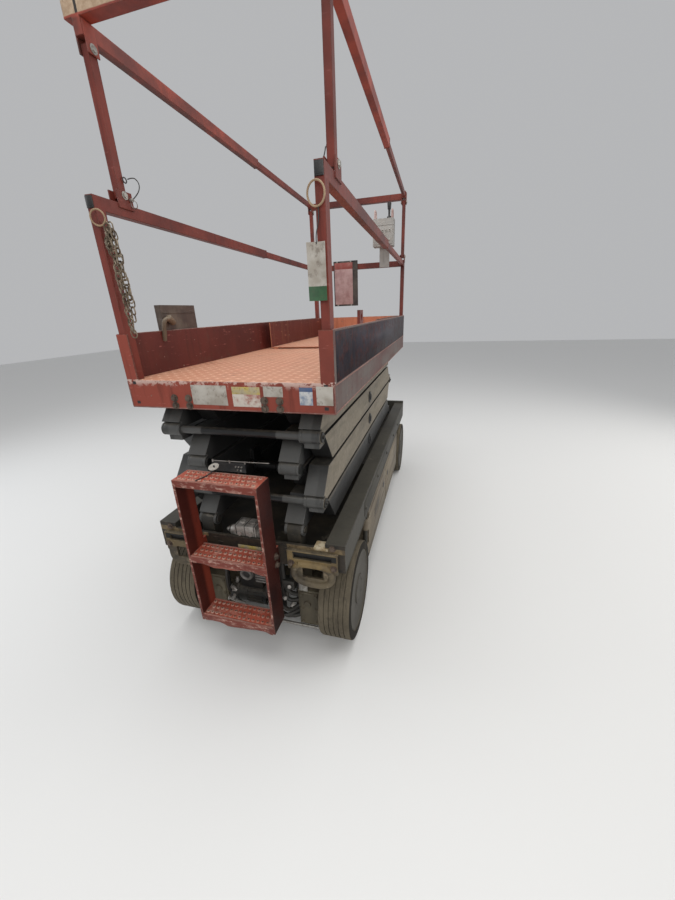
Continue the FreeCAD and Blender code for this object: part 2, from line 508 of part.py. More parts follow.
# Platform sides: rear skirt, side walls with their toe boards, and the flanges beside the entry.
def platformSides():
    toe = "(deckHeight + toeHeight)"
    pieces = [block("0", "platformWidth", REAR, f"{REAR} + sheetThick", "skirtUnder", "deckHeight"),
              block("0", "platformWidth", f"{DECKEND} - sheetThick", DECKEND, "skirtUnder", "deckHeight - floorThick")]
    for side, sign in SIDES:
        pieces.append(block(f"{sign}*(platformWidth - sheetThick)/2", "sheetThick", REAR, DECKEND, "skirtUnder", toe))
        pieces.append(block(f"{sign}*(platformWidth - flangeWidth)/2", "flangeWidth", REAR, f"{REAR} + sheetThick",
                            "deckHeight", toe))
    node("platform_sides", join(pieces))


# A square tube with a square bore, open at its far end.
def hollowTube(x, z, y0, y1):
    tube = block(x, "railWide", y0, y1, f"({z}) - railTube/2", f"({z}) + railTube/2")
    bore = block(x, "railWide - 2*railWall", f"{y0} + railWall", f"{y1} + 1", f"({z}) - railTube/2 + railWall",
                 f"({z}) + railTube/2 - railWall")
    return cut(tube, [bore])


# Two shoe plates that straddle a rail and hold the pivot pin of an upper post.
def shoe(x, y):
    plates = []
    for face in ("-1", "1"):
        middle = f"{x} + {face}*(railWide + shoeThick)/2"
        plate = block(middle, "shoeThick", f"{y} - shoeLength/2", f"{y} + shoeLength/2",
                      f"{MIDTOP} - shoeDrop", f"{MIDTOP} + shoeRise")
        plates.append(cut(plate, [across(middle, "shoeThick", y, LOWPIN, "foldPinRadius + boreGap")]))
    return plates


REARPOST = f"({REAR} + upperPostSetback)"
FRONTPOST = f"({DECKEND} + nose - railTube/2 - shoeLength/2 - 2)"
RAILZ = f"({MIDTOP} - railTube/2)"
TOPZ = f"({TOPTOP} - railTube/2)"
SPAN = "(2*railX + railWide)"
SLIDESTART = f"({REAR} + sheetThick + railTube + slideBack)"


def lowerRails():
    sets = []
    for side, sign in SIDES:
        x = f"{sign}*railX"
        back = f"{REAR} + sheetThick"
        pieces = [block(x, "railWide", back, f"{back} + railTube", "deckHeight", MIDTOP),
                  hollowTube(x, RAILZ, f"{back} + railTube - railWall", MAINEND)]
        sets.append(join(pieces + shoe(x, REARPOST)))
    node("lower_rails", apart(sets))


# Extension deck: a sheet on sliding pads, low side boards and the front toe board.
def extensionDeck():
    start = f"({DECKEND} + nose - deckLength)"
    under = "(deckHeight + padRise)"
    half = "(platformWidth/2 - deckInset)"
    pieces = [block("0", f"2*{half}", start, f"{DECKEND} + nose", under, f"{under} + deckSheet"),
              block("0", SPAN, f"{DECKEND} + nose - sheetThick", f"{DECKEND} + nose", under,
                    "deckHeight + toeHeight")]
    for side, sign in SIDES:
        pieces.append(block(f"{sign}*({half} - sheetThick/2)", "sheetThick", start, f"{DECKEND} + nose", under,
                            "deckHeight + toeHeight"))
        pieces.append(block(f"{sign}*({half} - padWidth)", "padWidth", start, DECKEND, "deckHeight + runningGap", under))
    node("extension_deck", join(pieces))


# Extension rails: corner posts, front rail and side tubes that slide in the main rails.
def extensionRails():
    end = f"({DECKEND} + nose - sheetThick)"
    pieces = [block("0", SPAN, f"{end} - railTube", end, f"{MIDTOP} - railTube", MIDTOP)]
    for side, sign in SIDES:
        x = f"{sign}*railX"
        pieces.append(block(x, "railWide", f"{end} - railTube", end, "deckHeight + padRise", MIDTOP))
        pieces.append(block(x, "slideWide", SLIDESTART, end, f"{RAILZ} - slideTube/2",
                            f"{RAILZ} + slideTube/2"))
        pieces.append(block(x, "railWide", f"{FRONTPOST} - shoeLength/2", end, f"{MIDTOP} - railTube", MIDTOP))
        pieces += shoe(x, FRONTPOST)
    node("extension_rails", join(pieces))


# A pair of upper posts, each with its pivot pins at the heel and the head.
def upperPosts(label, y):
    sets = []
    for side, sign in SIDES:
        x = f"{sign}*railX"
        pieces = [block(x, "upperPostWide", f"{y} - upperPostDeep/2", f"{y} + upperPostDeep/2",
                        f"{LOWPIN} - postHeel", f"{HIGHPIN} + postHeel")]
        for z in (LOWPIN, HIGHPIN):
            pieces.append(across(x, "railWide/2 + shoeThick + foldPinOver", y, z, "foldPinRadius"))
        sets.append(join(pieces))
    node(label, apart(sets))


# Ears that hang from an upper rail round the head of a post.
def ears(x, y):
    plates = []
    for face in ("-1", "1"):
        middle = f"{x} + {face}*(railWide + shoeThick)/2"
        plate = block(middle, "shoeThick", f"{y} - railTube/2", f"{y} + railTube/2", f"{HIGHPIN} - earDrop",
                      f"{TOPTOP} - railWall")
        plates.append(cut(plate, [across(middle, "shoeThick", y, HIGHPIN, "foldPinRadius + boreGap")]))
    return plates


# The rear bar lies across the tops of the side tubes and stands out past them.
def topRails():
    start = f"({REARPOST} - railTube/2 - shoeThick)"
    pieces = [block("0", f"{SPAN} + 2*barOver", start, f"{start} + railTube", TOPTOP, f"{TOPTOP} + railTube")]
    for side, sign in SIDES:
        x = f"{sign}*railX"
        pieces.append(hollowTube(x, TOPZ, start, MAINEND))
        pieces += ears(x, REARPOST)
    node("top_rail_main", join(pieces))
    end = f"({DECKEND} + nose)"
    front = [block("0", SPAN, f"{end} - railTube", end, f"{TOPTOP} - railTube", TOPTOP)]
    for side, sign in SIDES:
        x = f"{sign}*railX"
        front.append(block(x, "slideWide", f"{SLIDESTART} + railTube", end, f"{TOPZ} - slideTube/2",
                           f"{TOPZ} + slideTube/2"))
        front.append(block(x, "railWide", f"{FRONTPOST} - railTube", end, f"{TOPTOP} - railTube", TOPTOP))
        front += ears(x, FRONTPOST)
    node("top_rail_front", join(front))


# Control box on the front rail, instruction board under it, side box, chain bundle and lanyard anchor.
CHAINX = "(-railX + railWide/2 + chainWidth/2 + runningGap)"


def platformFittings():
    face = f"({DECKEND} + nose - sheetThick - railTube)"
    box = [block("boxX", "boxWidth", f"{face} - boxDepth", f"{face} - sheetThick", "boxTop - boxHeight", "boxTop"),
           block("boxX", "boxWidth/2", f"{face} - sheetThick", face, f"{MIDTOP} - railTube", "boxTop - boxHeight/2")]
    node("control_box", join(box))
    node("instruction_board", block("boardX", "boardWidth", f"{face} - boardThick", face, "boardTop - boardHeight",
                                    "boardTop"))
    node("side_box", block("-(platformWidth + sideBoxDepth)/2", "sideBoxDepth", f"{REAR} + sideBoxStart",
                           f"{REAR} + sideBoxStart + sideBoxLength", "sideBoxUnder", "sideBoxUnder + sideBoxHeight"))
    chain = bar("z", CHAINX, f"{REAR} + sheetThick + railTube/2", "chainTop - chainDrop",
                "chainWidth/2", "chainDrop")
    ring = across(CHAINX, "chainWidth/2", f"{REAR} + sheetThick + railTube/2",
                  "chainTop", "chainWidth/2")
    node("entry_chain", join([chain, ring]))
    # lanyard anchor: a plate inside the side wall that stands above it, with a round hole through its head
    middle = "(platformWidth/2 - sheetThick - anchorThick/2)"
    y = f"({REAR} + anchorY)"
    toe = "(deckHeight + toeHeight)"
    plate = block(middle, "anchorThick", f"{y} - anchorLength/2", f"{y} + anchorLength/2", f"{toe} - anchorDrop",
                  f"{toe} + anchorRise")
    node("lanyard_anchor", cut(plate, [across(middle, "anchorThick", y, f"{toe} + anchorBoreRise", "anchorBore")]))


chassisFrame()
rearAxle()
frontAxle()
for side, sign in SIDES:
    knuckle(side, sign)
tieRod()
for side, sign in SIDES:
    wheel("rear_" + side, sign, REARAXLE)
    wheel("front_" + side, sign, FRONTAXLE)
    tray(side, sign)
ladder()
tieDowns()
hydraulics()
armNode("inner_arms_1", "innerArmX", 1, True, extra=rodStubs())
armNode("outer_arms_1", "outerArmX", 1, False, roller="low")
armNode("outer_arms_2", "outerArmX", 2, True)
armNode("inner_arms_2", "innerArmX", 2, False, tube=False, extra=barrelCradle())
armNode("inner_arms_3", "innerArmX", 3, True)
armNode("outer_arms_3", "outerArmX", 3, False)
armNode("outer_arms_4", "outerArmX", 4, True, roller="high")
armNode("inner_arms_4", "innerArmX", 4, False)
liftCylinder()
platformFloor()
platformSides()
lowerRails()
extensionDeck()
extensionRails()
upperPosts("upper_posts_rear", REARPOST)
upperPosts("upper_posts_front", FRONTPOST)
topRails()
platformFittings()

doc.recompute()
bad = [obj.Name for obj in doc.Objects if "Invalid" in obj.State or "Error" in obj.State]
if bad:
    raise SystemExit("objects left in error: " + ", ".join(bad))
for obj in NODES:
    if obj.Shape.isNull() or not obj.Shape.isValid() or obj.Shape.Volume <= 0:
        raise SystemExit("bad shape: " + obj.Label)
for obj in NODES:
    obj.Shape.exportStep("parts/" + obj.Label + ".step")
    print(obj.Label, len(obj.Shape.Solids), round(obj.Shape.Volume/1e6, 3))
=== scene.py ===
# Slab scissor lift, seen from behind and above, on a plain pale floor.
import math

import bmesh
import bpy
from mathutils import Matrix, Vector


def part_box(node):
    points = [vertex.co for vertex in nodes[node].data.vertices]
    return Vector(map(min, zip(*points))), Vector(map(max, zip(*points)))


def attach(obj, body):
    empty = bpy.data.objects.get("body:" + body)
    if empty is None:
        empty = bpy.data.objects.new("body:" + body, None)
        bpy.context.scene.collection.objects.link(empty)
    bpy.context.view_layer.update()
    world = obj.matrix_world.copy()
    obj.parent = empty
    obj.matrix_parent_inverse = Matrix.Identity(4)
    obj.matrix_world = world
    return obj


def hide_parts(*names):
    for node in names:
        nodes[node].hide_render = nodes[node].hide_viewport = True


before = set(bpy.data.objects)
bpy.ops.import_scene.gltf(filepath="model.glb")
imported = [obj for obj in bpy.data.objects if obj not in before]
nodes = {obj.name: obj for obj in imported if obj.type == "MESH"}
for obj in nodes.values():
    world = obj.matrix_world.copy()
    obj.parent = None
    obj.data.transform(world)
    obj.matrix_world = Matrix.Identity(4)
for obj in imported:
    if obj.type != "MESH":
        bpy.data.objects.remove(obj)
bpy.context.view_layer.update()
print("frame loaded:", len(nodes), "nodes")

# Camera and light

view = {"place": (0.665, -2.013, 1.323), "turnLeft": 16.04, "tiltDown": 21.42, "roll": -2.11, "focal": 14.1}
sky = {"colour": (0.93, 0.94, 0.96, 1), "strength": 0.5}
lamps = {
    # name: place, aim, width, watts, colour
    "roof": ((0.2, -0.4, 4.6), (0, 0, 0.8), 4.5, 105, (1, 0.99, 0.97)),
    "rear": ((1.6, -4.2, 2.9), (0, -0.6, 0.9), 2.6, 62, (1, 0.98, 0.95)),
    "left": ((-3.8, -1.0, 2.4), (0, 0, 0.9), 2.4, 38, (0.93, 0.96, 1)),
    "right": ((3.9, 1.6, 2.2), (0, 0.2, 0.9), 2.4, 40, (1, 0.98, 0.95)),
}


def turned(axis, degrees):
    return Matrix.Rotation(math.radians(degrees), 4, axis)


def placed(name, data):
    made = bpy.data.objects.new(name, data)
    bpy.context.scene.collection.objects.link(made)
    return made


def makeCamera():
    data = bpy.data.cameras.new("camera")
    data.lens = view["focal"]  # on a 36 mm sensor, along the tall side
    data.clip_start = 0.05
    camera = placed("camera", data)
    camera.matrix_world = (Matrix.Translation(view["place"]) @ turned("Z", view["turnLeft"])
                           @ turned("X", 90 - view["tiltDown"]) @ turned("Z", view["roll"]))
    bpy.context.scene.camera = camera


def makeLamps():
    for name, (place, aim, width, watts, colour) in lamps.items():
        data = bpy.data.lights.new(name, "AREA")
        data.shape, data.size, data.energy, data.color = "DISK", width, watts, colour
        lamp = placed(name, data)
        lamp.location = place
        lamp.rotation_euler = (Vector(aim) - Vector(place)).to_track_quat("-Z", "Y").to_euler()
    world = bpy.data.worlds.new("studio")
    bpy.context.scene.world = world
    world.use_nodes = True
    back = world.node_tree.nodes["Background"]
    back.inputs[0].default_value, back.inputs[1].default_value = sky["colour"], sky["strength"]
    bpy.context.scene.view_settings.view_transform = "Standard"


makeCamera()
makeLamps()
print("camera and lamps set")

# Shader maths


class Level:
    # a socket that takes part in sums, each of which adds a Math node
    def __init__(self, finish, socket):
        self.finish, self.socket = finish, socket

    def math(self, operation, *others):
        return self.finish.add("Math", {"operation": operation}, dict(enumerate((self, *others))))

    def __add__(self, other):
        return self.math("ADD", other)

    def __sub__(self, other):
        return self.math("SUBTRACT", other)

    def __rsub__(self, other):
        return self.finish.add("Math", {"operation": "SUBTRACT"}, {0: other, 1: self})

    def __mul__(self, other):
        return self.math("MULTIPLY", other)

    def __truediv__(self, other):
        return self.math("DIVIDE", other)

    __radd__, __rmul__ = __add__, __mul__

    def __abs__(self):
        return self.math("ABSOLUTE")

    def most(self, other):
        return self.math("MAXIMUM", other)

    def over(self, low, high, first=0.0, last=1.0):  # 0 below low, 1 above high, smooth between
        settings = {"interpolation_type": "SMOOTHSTEP", "clamp": True}
        return self.finish.add("MapRange", settings, {0: self, 1: low, 2: high, 3: first, 4: last})

    def under(self, low, high):  # 1 below low, 0 above high
        return self.over(low, high, 1.0, 0.0)


class Finish:
    def __init__(self, name):
        self.material = bpy.data.materials.new(name)
        self.material.use_nodes = True
        self.tree = self.material.node_tree
        self.tree.nodes.clear()
        self.shader = self.tree.nodes.new("ShaderNodeBsdfPrincipled")
        output = self.tree.nodes.new("ShaderNodeOutputMaterial")
        self.tree.links.new(self.shader.outputs[0], output.inputs[0])
        self.paint = self.rounded = None
        self.place = self.add("TexCoord", out="Object")
        self.x, self.y, self.z = self.split(self.place)
        self.sideways, self.frontward, self.upward = self.split(self.add("TexCoord", out="Normal"))
        self.flank = abs(self.sideways)

    def add(self, kind, settings=None, values=None, out=0):
        node = self.tree.nodes.new("ShaderNode" + kind)
        for key, value in (settings or {}).items():
            setattr(node, key, value)
        for key, value in (values or {}).items():
            self.feed(node.inputs[key], value)
        return Level(self, node.outputs[out])

    def feed(self, socket, value):
        if isinstance(value, Level):
            self.tree.links.new(value.socket, socket)
        elif isinstance(value, tuple) and socket.type == "RGBA":
            socket.default_value = (*value, 1)
        else:
            socket.default_value = value

    def split(self, vector):
        first = self.add("SeparateXYZ", {}, {0: vector})
        return [Level(self, socket) for socket in first.socket.node.outputs]

    def noise(self, scale, detail=5, rough=0.6, vector=None):
        values = {"Vector": vector or self.place, "Scale": scale, "Detail": detail, "Roughness": rough}
        return self.add("TexNoise", {}, values)

    def drawn(self, scale, detail=5, rough=0.6, turn=(0, 0, 0)):  # noise with its own scale for each axis
        vector = self.add("Mapping", {}, {"Vector": self.place, "Rotation": turn, "Scale": scale})
        return self.noise(1.0, detail, rough, vector)

    def mix(self, factor, first, second):
        return self.add("Mix", {"data_type": "RGBA"}, {0: factor, 6: first, 7: second}, out=2)

    def lay(self, factor, colour):  # colour goes over the paint where factor is 1
        self.paint = self.mix(factor, self.paint, colour)

    def wear(self, low, high, amount=1.0, grain=28, start=0.015, full=0.16):  # patches along worn edges
        self.rounded = self.add("Bevel", {"samples": 4}, {"Radius": 0.004})
        plain = self.add("NewGeometry", out="Normal")
        same = self.add("VectorMath", {"operation": "DOT_PRODUCT"}, {0: self.rounded, 1: plain}, out=1)
        return (1.0 - same).over(start, full) * self.noise(grain, 5, 0.7).over(low, high) * amount

    def shade(self, rough, height=None, depth=0.0006, metal=0.0, gloss=0.5):
        values = {"Base Color": self.paint, "Roughness": rough, "Metallic": metal, "Specular IOR Level": gloss}
        if height:
            bump = {"Height": height, "Distance": depth, "Strength": 1.0}
            if self.rounded:
                bump["Normal"] = self.rounded
            values["Normal"] = self.add("Bump", {}, bump)
        for key, value in values.items():
            self.feed(self.shader.inputs[key], value)
        return self.material


def tinted(colour, gain, lift=0.0):
    return tuple(min(1.0, gain * c + lift) for c in colour)


# Finishes


# Enamel over steel: uneven colour, streaks that run down, dust on top, chipped edges.
def enamel(name, colour, shadow, under=(0.12, 0.07, 0.045), dust=(0.3, 0.26, 0.2), dusty=0.5, chips=0.5,
           streaks=0.5, rough=0.5):
    f = Finish(name)
    broad, fine = f.noise(3.1), f.noise(55, 6, 0.65)
    f.paint = f.mix(broad.over(0.38, 0.66), colour, shadow)
    run = f.drawn((38, 38, 3.2), 4).over(0.52, 0.74) * (1.0 - abs(f.upward)).over(0.4, 0.95)
    f.lay(run * streaks, tinted(shadow, 0.45))
    scuff = f.drawn((9, 9, 60), 3, 0.7, (0.5, 0.2, 0.4)).over(0.6, 0.7) * fine.over(0.45, 0.6)
    f.lay(scuff * 0.45, tinted(colour, 1.5, 0.06))
    settled = f.upward.over(0.3, 0.9) * (0.35 + fine.over(0.35, 0.65)) * dusty
    f.lay(settled.most(f.noise(11, 4).over(0.42, 0.72) * dusty * 0.55), dust)
    worn = f.wear(0.44, 0.6).most(f.noise(70, 2, 0.5).over(0.735, 0.76)) * chips
    f.lay(worn, f.mix(fine.over(0.4, 0.6), under, tinted(under, 0.4)))
    return f.shade(rough + fine * 0.2 + worn * 0.2, fine * 0.25 + broad * 0.3 - worn, gloss=0.3)


# Deck and skirt: worn red, with a raised pattern of lozenges on what faces up, and painted shade on the faces turned
# inward and those turned forward.
def deckFinish(name, colour, shadow, pale, wear, pitch=0.028):
    f = Finish(name)
    broad, fine = f.noise(2.3, 5, 0.62), f.noise(48, 5, 0.65)
    up, outward = f.upward.over(0.6, 0.9), f.sideways * f.x
    f.paint = f.mix(broad.over(0.36, 0.66), colour, shadow)
    # painted shade: faces turned towards the middle and faces turned forward get a darker copy of the red
    inward = (outward * -1.0).over(0.1, 0.25).most(f.frontward.over(0.5, 0.8))
    f.lay(inward, f.mix(broad.over(0.35, 0.65), (0.125, 0.024, 0.018), (0.084, 0.016, 0.013)))
    dusty = f.drawn((6, 2.5, 12)).over(0.25, 0.7)
    f.lay(outward.over(0.1, 0.25), f.mix(dusty, (0.11, 0.04, 0.034), (0.135, 0.108, 0.096)))
    f.lay(f.drawn((34, 34, 3.0), 4).over(0.5, 0.74) * (1.0 - up) * 0.6, tinted(shadow, 0.45))
    bars = []
    for sense in (-1, 1):  # two sets of short slanting bars, set in a chequer
        u = (f.x + f.y * sense) / (pitch * math.sqrt(2))
        v = (f.y - f.x * sense) / (pitch * math.sqrt(2))
        odd = ((u.math("FLOOR") + v.math("FLOOR")) * 0.5).math("FRACT").over(0.2, 0.3)
        bar = abs(u.math("FRACT") - 0.5).under(0.07, 0.15) * abs(v.math("FRACT") - 0.5).under(0.3, 0.44)
        bars.append(bar * (odd if sense > 0 else 1.0 - odd))
    lozenge = bars[0].most(bars[1]) * up
    worn = (wear + broad.over(0.3, 0.7) * 0.5) * (0.45 + fine.over(0.35, 0.6) * 0.55) * up
    f.lay(worn * 0.7, pale)
    f.lay(lozenge * (0.35 + wear * 0.5), tinted(pale, 1.25, 0.04))
    f.lay(f.noise(6.5, 5, 0.7).over(0.56, 0.7) * fine.over(0.4, 0.6) * 0.55, (0.1, 0.045, 0.032))
    scuff = f.drawn((10, 10, 70), 3, 0.7, (0.4, 0.2, 0.5)).over(0.6, 0.69) * fine.over(0.45, 0.6)
    f.lay(scuff * 0.5, tinted(colour, 1.4, 0.08))
    chip = f.wear(0.42, 0.58).most(f.noise(64, 2, 0.5).over(0.72, 0.75)) * 0.85
    rim = f.y.under(-1.006, -0.996) * f.z.over(1.098, 1.126) * f.z.under(1.127, 1.13)
    f.lay(rim * (f.noise(36, 5, 0.72) + rim * 0.1).over(0.545, 0.6) * 0.85, (0.62, 0.46, 0.4))
    f.lay(chip, f.mix(fine.over(0.4, 0.6), (0.4, 0.27, 0.21), (0.09, 0.045, 0.03)))
    height = lozenge * 1.6 + fine * 0.25 + broad * 0.3 - chip
    return f.shade(0.42 + fine * 0.18 + worn * 0.12, height, 0.0008, gloss=0.3)


# Chassis: beige grey outside, oily and dark inside the pan and at the rear plate.
def chassisFinish():
    f = Finish("chassisGrey")
    broad, fine = f.noise(2.6, 4), f.noise(44, 5, 0.65)
    f.paint = f.mix(broad.over(0.35, 0.68), (0.05, 0.046, 0.035), (0.026, 0.024, 0.019))
    f.lay(f.drawn((24, 24, 3.0), 4).over(0.5, 0.78) * 0.5, (0.02, 0.018, 0.014))
    f.lay(f.upward.over(0.5, 0.9) * f.drawn((9, 3, 9)).over(0.35, 0.7) * 0.5, (0.058, 0.052, 0.038))
    pan = abs(f.x).under(0.3165, 0.3185) * f.y.under(1.085, 1.095) * f.z.over(0.4285, 0.4305)
    oil = f.mix(f.noise(9, 5, 0.65).over(0.4, 0.65), (0.02, 0.018, 0.014), (0.046, 0.038, 0.026))
    f.lay(pan.most(f.z.under(0.149, 0.152)), oil)
    plate = f.y.under(-1.0148, -1.0142)
    f.lay(plate, f.mix(fine.over(0.4, 0.65), (0.03, 0.022, 0.014), (0.01, 0.008, 0.006)))
    strip = plate * abs(f.x).over(0.166, 0.17) * f.z.over(0.509, 0.512) * f.z.under(0.53, 0.533)
    bare = f.mix(fine.over(0.38, 0.62), (0.235, 0.17, 0.085), (0.08, 0.056, 0.03))
    f.lay(strip * (0.55 + fine.over(0.3, 0.6) * 0.45), bare)
    scuff = f.drawn((9, 6, 70), 3, 0.7, (0.1, 0.3, 0.2)).over(0.62, 0.7) * fine.over(0.45, 0.6)
    f.lay(scuff * 0.35, (0.24, 0.21, 0.165))
    worn = f.wear(0.46, 0.62, 0.55)
    f.lay(worn, f.mix(fine.over(0.4, 0.6), (0.2, 0.165, 0.12), (0.04, 0.032, 0.024)))
    return f.shade(0.5 + fine * 0.2, fine * 0.2 + broad * 0.3 - worn, 0.0005)


# Side trays: beige grey, streaked along their length, dull red-brown where the paint has gone.
def trayFinish():
    f = Finish("trayGrey")
    broad, fine, grain = f.noise(2.2, 4), f.noise(44, 5, 0.65), f.drawn((10, 1.6, 34), 5, 0.65)
    f.paint = f.mix(broad.over(0.35, 0.68), (0.225, 0.186, 0.13), (0.15, 0.122, 0.086))
    f.lay(grain.over(0.46, 0.66) * 0.6, (0.075, 0.055, 0.038))
    f.lay(f.drawn((12, 3, 46), 4, 0.7, (0.1, 0, 0)).over(0.6, 0.66) * 0.5, (0.27, 0.235, 0.18))
    f.lay(f.z.under(0.16, 0.24) * 0.45, (0.05, 0.042, 0.031))
    worn = f.wear(0.46, 0.62, 0.55)
    f.lay(worn, (0.05, 0.04, 0.03))
    return f.shade(0.5 + fine * 0.2, fine * 0.2 + grain * 0.5 - worn)


# Tie-down plates: rusty steel, golden where the paint has gone, black laid round each slot as painted shade for its
# dark inside, painted shade over the left plate.
def lugFinish():
    f = Finish("lugRust")
    broad, fine, face = f.noise(14, 5, 0.65), f.noise(70, 5, 0.7), f.y.under(-1.0309, -1.03)
    f.paint = f.mix(broad.over(0.38, 0.64), (0.125, 0.098, 0.058), (0.052, 0.04, 0.026))
    golden = face * f.z.over(0.438, 0.45) * f.z.under(0.508, 0.513)
    f.lay(golden * 0.8, f.mix(broad.over(0.4, 0.66), (0.22, 0.15, 0.058), (0.115, 0.08, 0.036)))
    # painted shade: the left plate is darkened to a dark rust brown, as if lying in shade
    f.lay(f.x.under(-0.1, 0.1) * 0.45, (0.04, 0.032, 0.022))
    f.lay(f.noise(30, 5, 0.72).over(0.56, 0.66) * 0.6, (0.26, 0.2, 0.13))
    worn = f.wear(0.44, 0.6, 0.8, 34)
    f.lay(worn, (0.24, 0.19, 0.12))
    # painted shade: black laid on the front face round each slot stands in for its dark inside
    slot = face * f.z.over(0.481, 0.483) * f.z.under(0.5065, 0.5085)
    f.lay(slot * abs(abs(f.x) - 0.279).under(0.0835, 0.085), (0.006, 0.005, 0.004))
    return f.shade(0.55 + fine * 0.25, fine * 0.5 + broad * 0.5 - worn, 0.001)


# Arms: near-black paint, near ends made greyer by a painted sheen, beige dust with a painted sheen on the upper outer
# flanks, some rust round the near pivots.
def armFinish():
    f = Finish("armGrey")
    broad, fine, reach = f.noise(3.4), f.noise(60, 6, 0.65), abs(f.x)
    f.paint = f.mix(broad.over(0.38, 0.66), (0.021, 0.021, 0.021), (0.01, 0.01, 0.0105))
    # painted sheen: the near ends, and the inner arms' ends more, get a greyer copy of the paint
    ends = f.y.under(-0.955, -0.9) * reach.over(0.146, 0.15)
    f.lay(ends, f.mix(broad.over(0.36, 0.64), (0.064, 0.064, 0.061), (0.039, 0.039, 0.038)))
    f.lay(ends * reach.under(0.276, 0.284) * 0.6, (0.082, 0.082, 0.079))
    f.lay(reach.under(0.146, 0.148), (0.007, 0.007, 0.0075))
    # beige dust with a painted sheen on the outer flanks of the upper tiers
    outer = f.flank.over(0.7, 0.95) * reach.over(0.296, 0.306) * f.z.over(0.655, 0.7)
    beige = f.mix(fine.over(0.3, 0.7), (0.25, 0.215, 0.162), (0.195, 0.165, 0.122))
    stain = f.drawn((9, 2.6, 26), 5, 0.7, (0.35, 0, 0)).over(0.53, 0.68)
    drift = f.drawn((4, 2.2, 9), 5, 0.62).over(0.25, 0.6)
    f.lay(outer * (0.6 + drift * 0.4), f.mix(stain * 0.55, beige, (0.1, 0.082, 0.058)))
    top = f.upward.over(0.55, 0.95) * (0.15 + fine.over(0.4, 0.65) * 0.35) * broad.over(0.3, 0.6)
    f.lay(top, (0.15, 0.13, 0.1))
    tier = ((f.z - 0.4975) / 0.125).math("FRACT") * 0.125 - 0.0625  # height above the nearest pivot
    away = (f.y + 0.96) * (f.y + 0.96) + tier * tier
    near = away.under(0.0245 ** 2, 0.0275 ** 2) * f.y.under(-0.958, -0.95) * reach.over(0.305, 0.308)
    rust = (f.noise(26, 5, 0.72).over(0.55, 0.66) * 0.4).most(f.flank.over(0.5, 0.9) * 0.35)
    f.lay(near * rust, f.mix(fine.over(0.4, 0.6), (0.1, 0.07, 0.04), (0.05, 0.036, 0.024)))
    worn = f.wear(0.48, 0.64, 0.45)
    f.lay(worn, (0.15, 0.13, 0.105))
    smear = f.drawn((7, 5, 15), 4).over(0.4, 0.7)
    return f.shade(0.27 + fine * 0.16 + smear * 0.15 + outer * 0.3, fine * 0.2 + broad * 0.3 - worn, 0.0004)


# Rear bar of the top rail: tan wrap on its rear and upper faces, red under it, one dark strap, a painted shadow under
# its left end.
def barFinish():
    f = Finish("barTan")
    broad, fine = f.noise(7), f.noise(70, 5, 0.65)
    f.paint = f.mix(broad.over(0.4, 0.65), (0.33, 0.055, 0.032), (0.19, 0.034, 0.024))
    tan = f.mix(fine.over(0.35, 0.68), (0.5, 0.37, 0.255), (0.37, 0.25, 0.16))
    tan = f.mix(broad.over(0.52, 0.7) * 0.6, tan, (0.24, 0.15, 0.09))
    bar = f.y.under(-0.872, -0.86) * f.z.over(2.1005, 2.1035)
    wrap = (f.z + (fine - 0.5) * 0.004).over(2.106, 2.109).most(f.upward.over(0.5, 0.8))
    strap = abs(f.x + 0.349).under(0.004, 0.005)
    f.lay(bar * wrap, f.mix(strap, tan, (0.03, 0.024, 0.02)))
    worn = f.wear(0.46, 0.62, 0.6, 30, 0.02)
    f.lay(worn, f.mix(fine.over(0.4, 0.6), (0.2, 0.13, 0.08), (0.07, 0.04, 0.025)))
    # painted shadow under the left end of the bar, over the post top
    corner = f.x.under(-0.375, -0.315) * f.z.under(2.096, 2.106) * broad.over(0.3, 0.5)
    f.lay(corner * 0.8, (0.04, 0.02, 0.016))
    return f.shade(0.45 + fine * 0.2, fine * 0.3 + broad * 0.3 - worn - strap * 0.8 * bar)


# Ladder: red in painted light and shade, dark on the sides, lighter on the lips, brightest on the treads and lit on
# the stringers' inner faces, with the paint worn to a pale pink.
def ladderFinish():
    f = Finish("ladderRed")
    broad, fine, up = f.noise(5), f.noise(60, 5, 0.68), f.upward.over(0.5, 0.85)
    # painted light and shade: sides, lips and treads get darker and lighter copies of one red
    lip = f.flank.under(0.6, 0.9) * (1.0 - up)
    f.paint = f.mix(broad.over(0.38, 0.66), (0.054, 0.0105, 0.0075), (0.026, 0.006, 0.005))
    # painted light on the stringers' inner faces, stronger towards the front and higher up
    inner = (f.sideways * (f.x + 0.028) * -1.0).over(0.02, 0.06) * (0.15 + f.y.over(-1.08, -1.058) * 0.85)
    f.lay(inner * 0.8, f.mix(f.z.over(0.3, 0.75), (0.33, 0.06, 0.032), (0.21, 0.036, 0.022)))
    f.lay(lip, f.mix(broad.over(0.4, 0.66), (0.185, 0.04, 0.027), (0.115, 0.026, 0.019)))
    f.lay(up, f.mix(broad.over(0.36, 0.62), (0.46, 0.105, 0.066), (0.34, 0.08, 0.052)))
    scrape = f.drawn((26, 26, 60), 4, 0.7).over(0.5, 0.64) * (0.35 + fine.over(0.42, 0.6) * 0.65)
    treads = up * (0.45 + f.y.under(-1.104, -1.092) * 0.45)
    f.lay(scrape * (lip * 0.75).most(treads), (0.64, 0.43, 0.35))
    f.lay(f.noise(9, 5, 0.7).over(0.56, 0.72) * 0.6, (0.045, 0.018, 0.014))
    worn = f.wear(0.4, 0.56, 0.9, 30, 0.012, 0.14)
    f.lay(worn, f.mix(fine.over(0.42, 0.6), (0.46, 0.31, 0.25), (0.12, 0.055, 0.04)))
    return f.shade(0.38 + fine * 0.25, fine * 0.3 + broad * 0.3 - worn - scrape * 0.6, 0.0007, gloss=0.3)


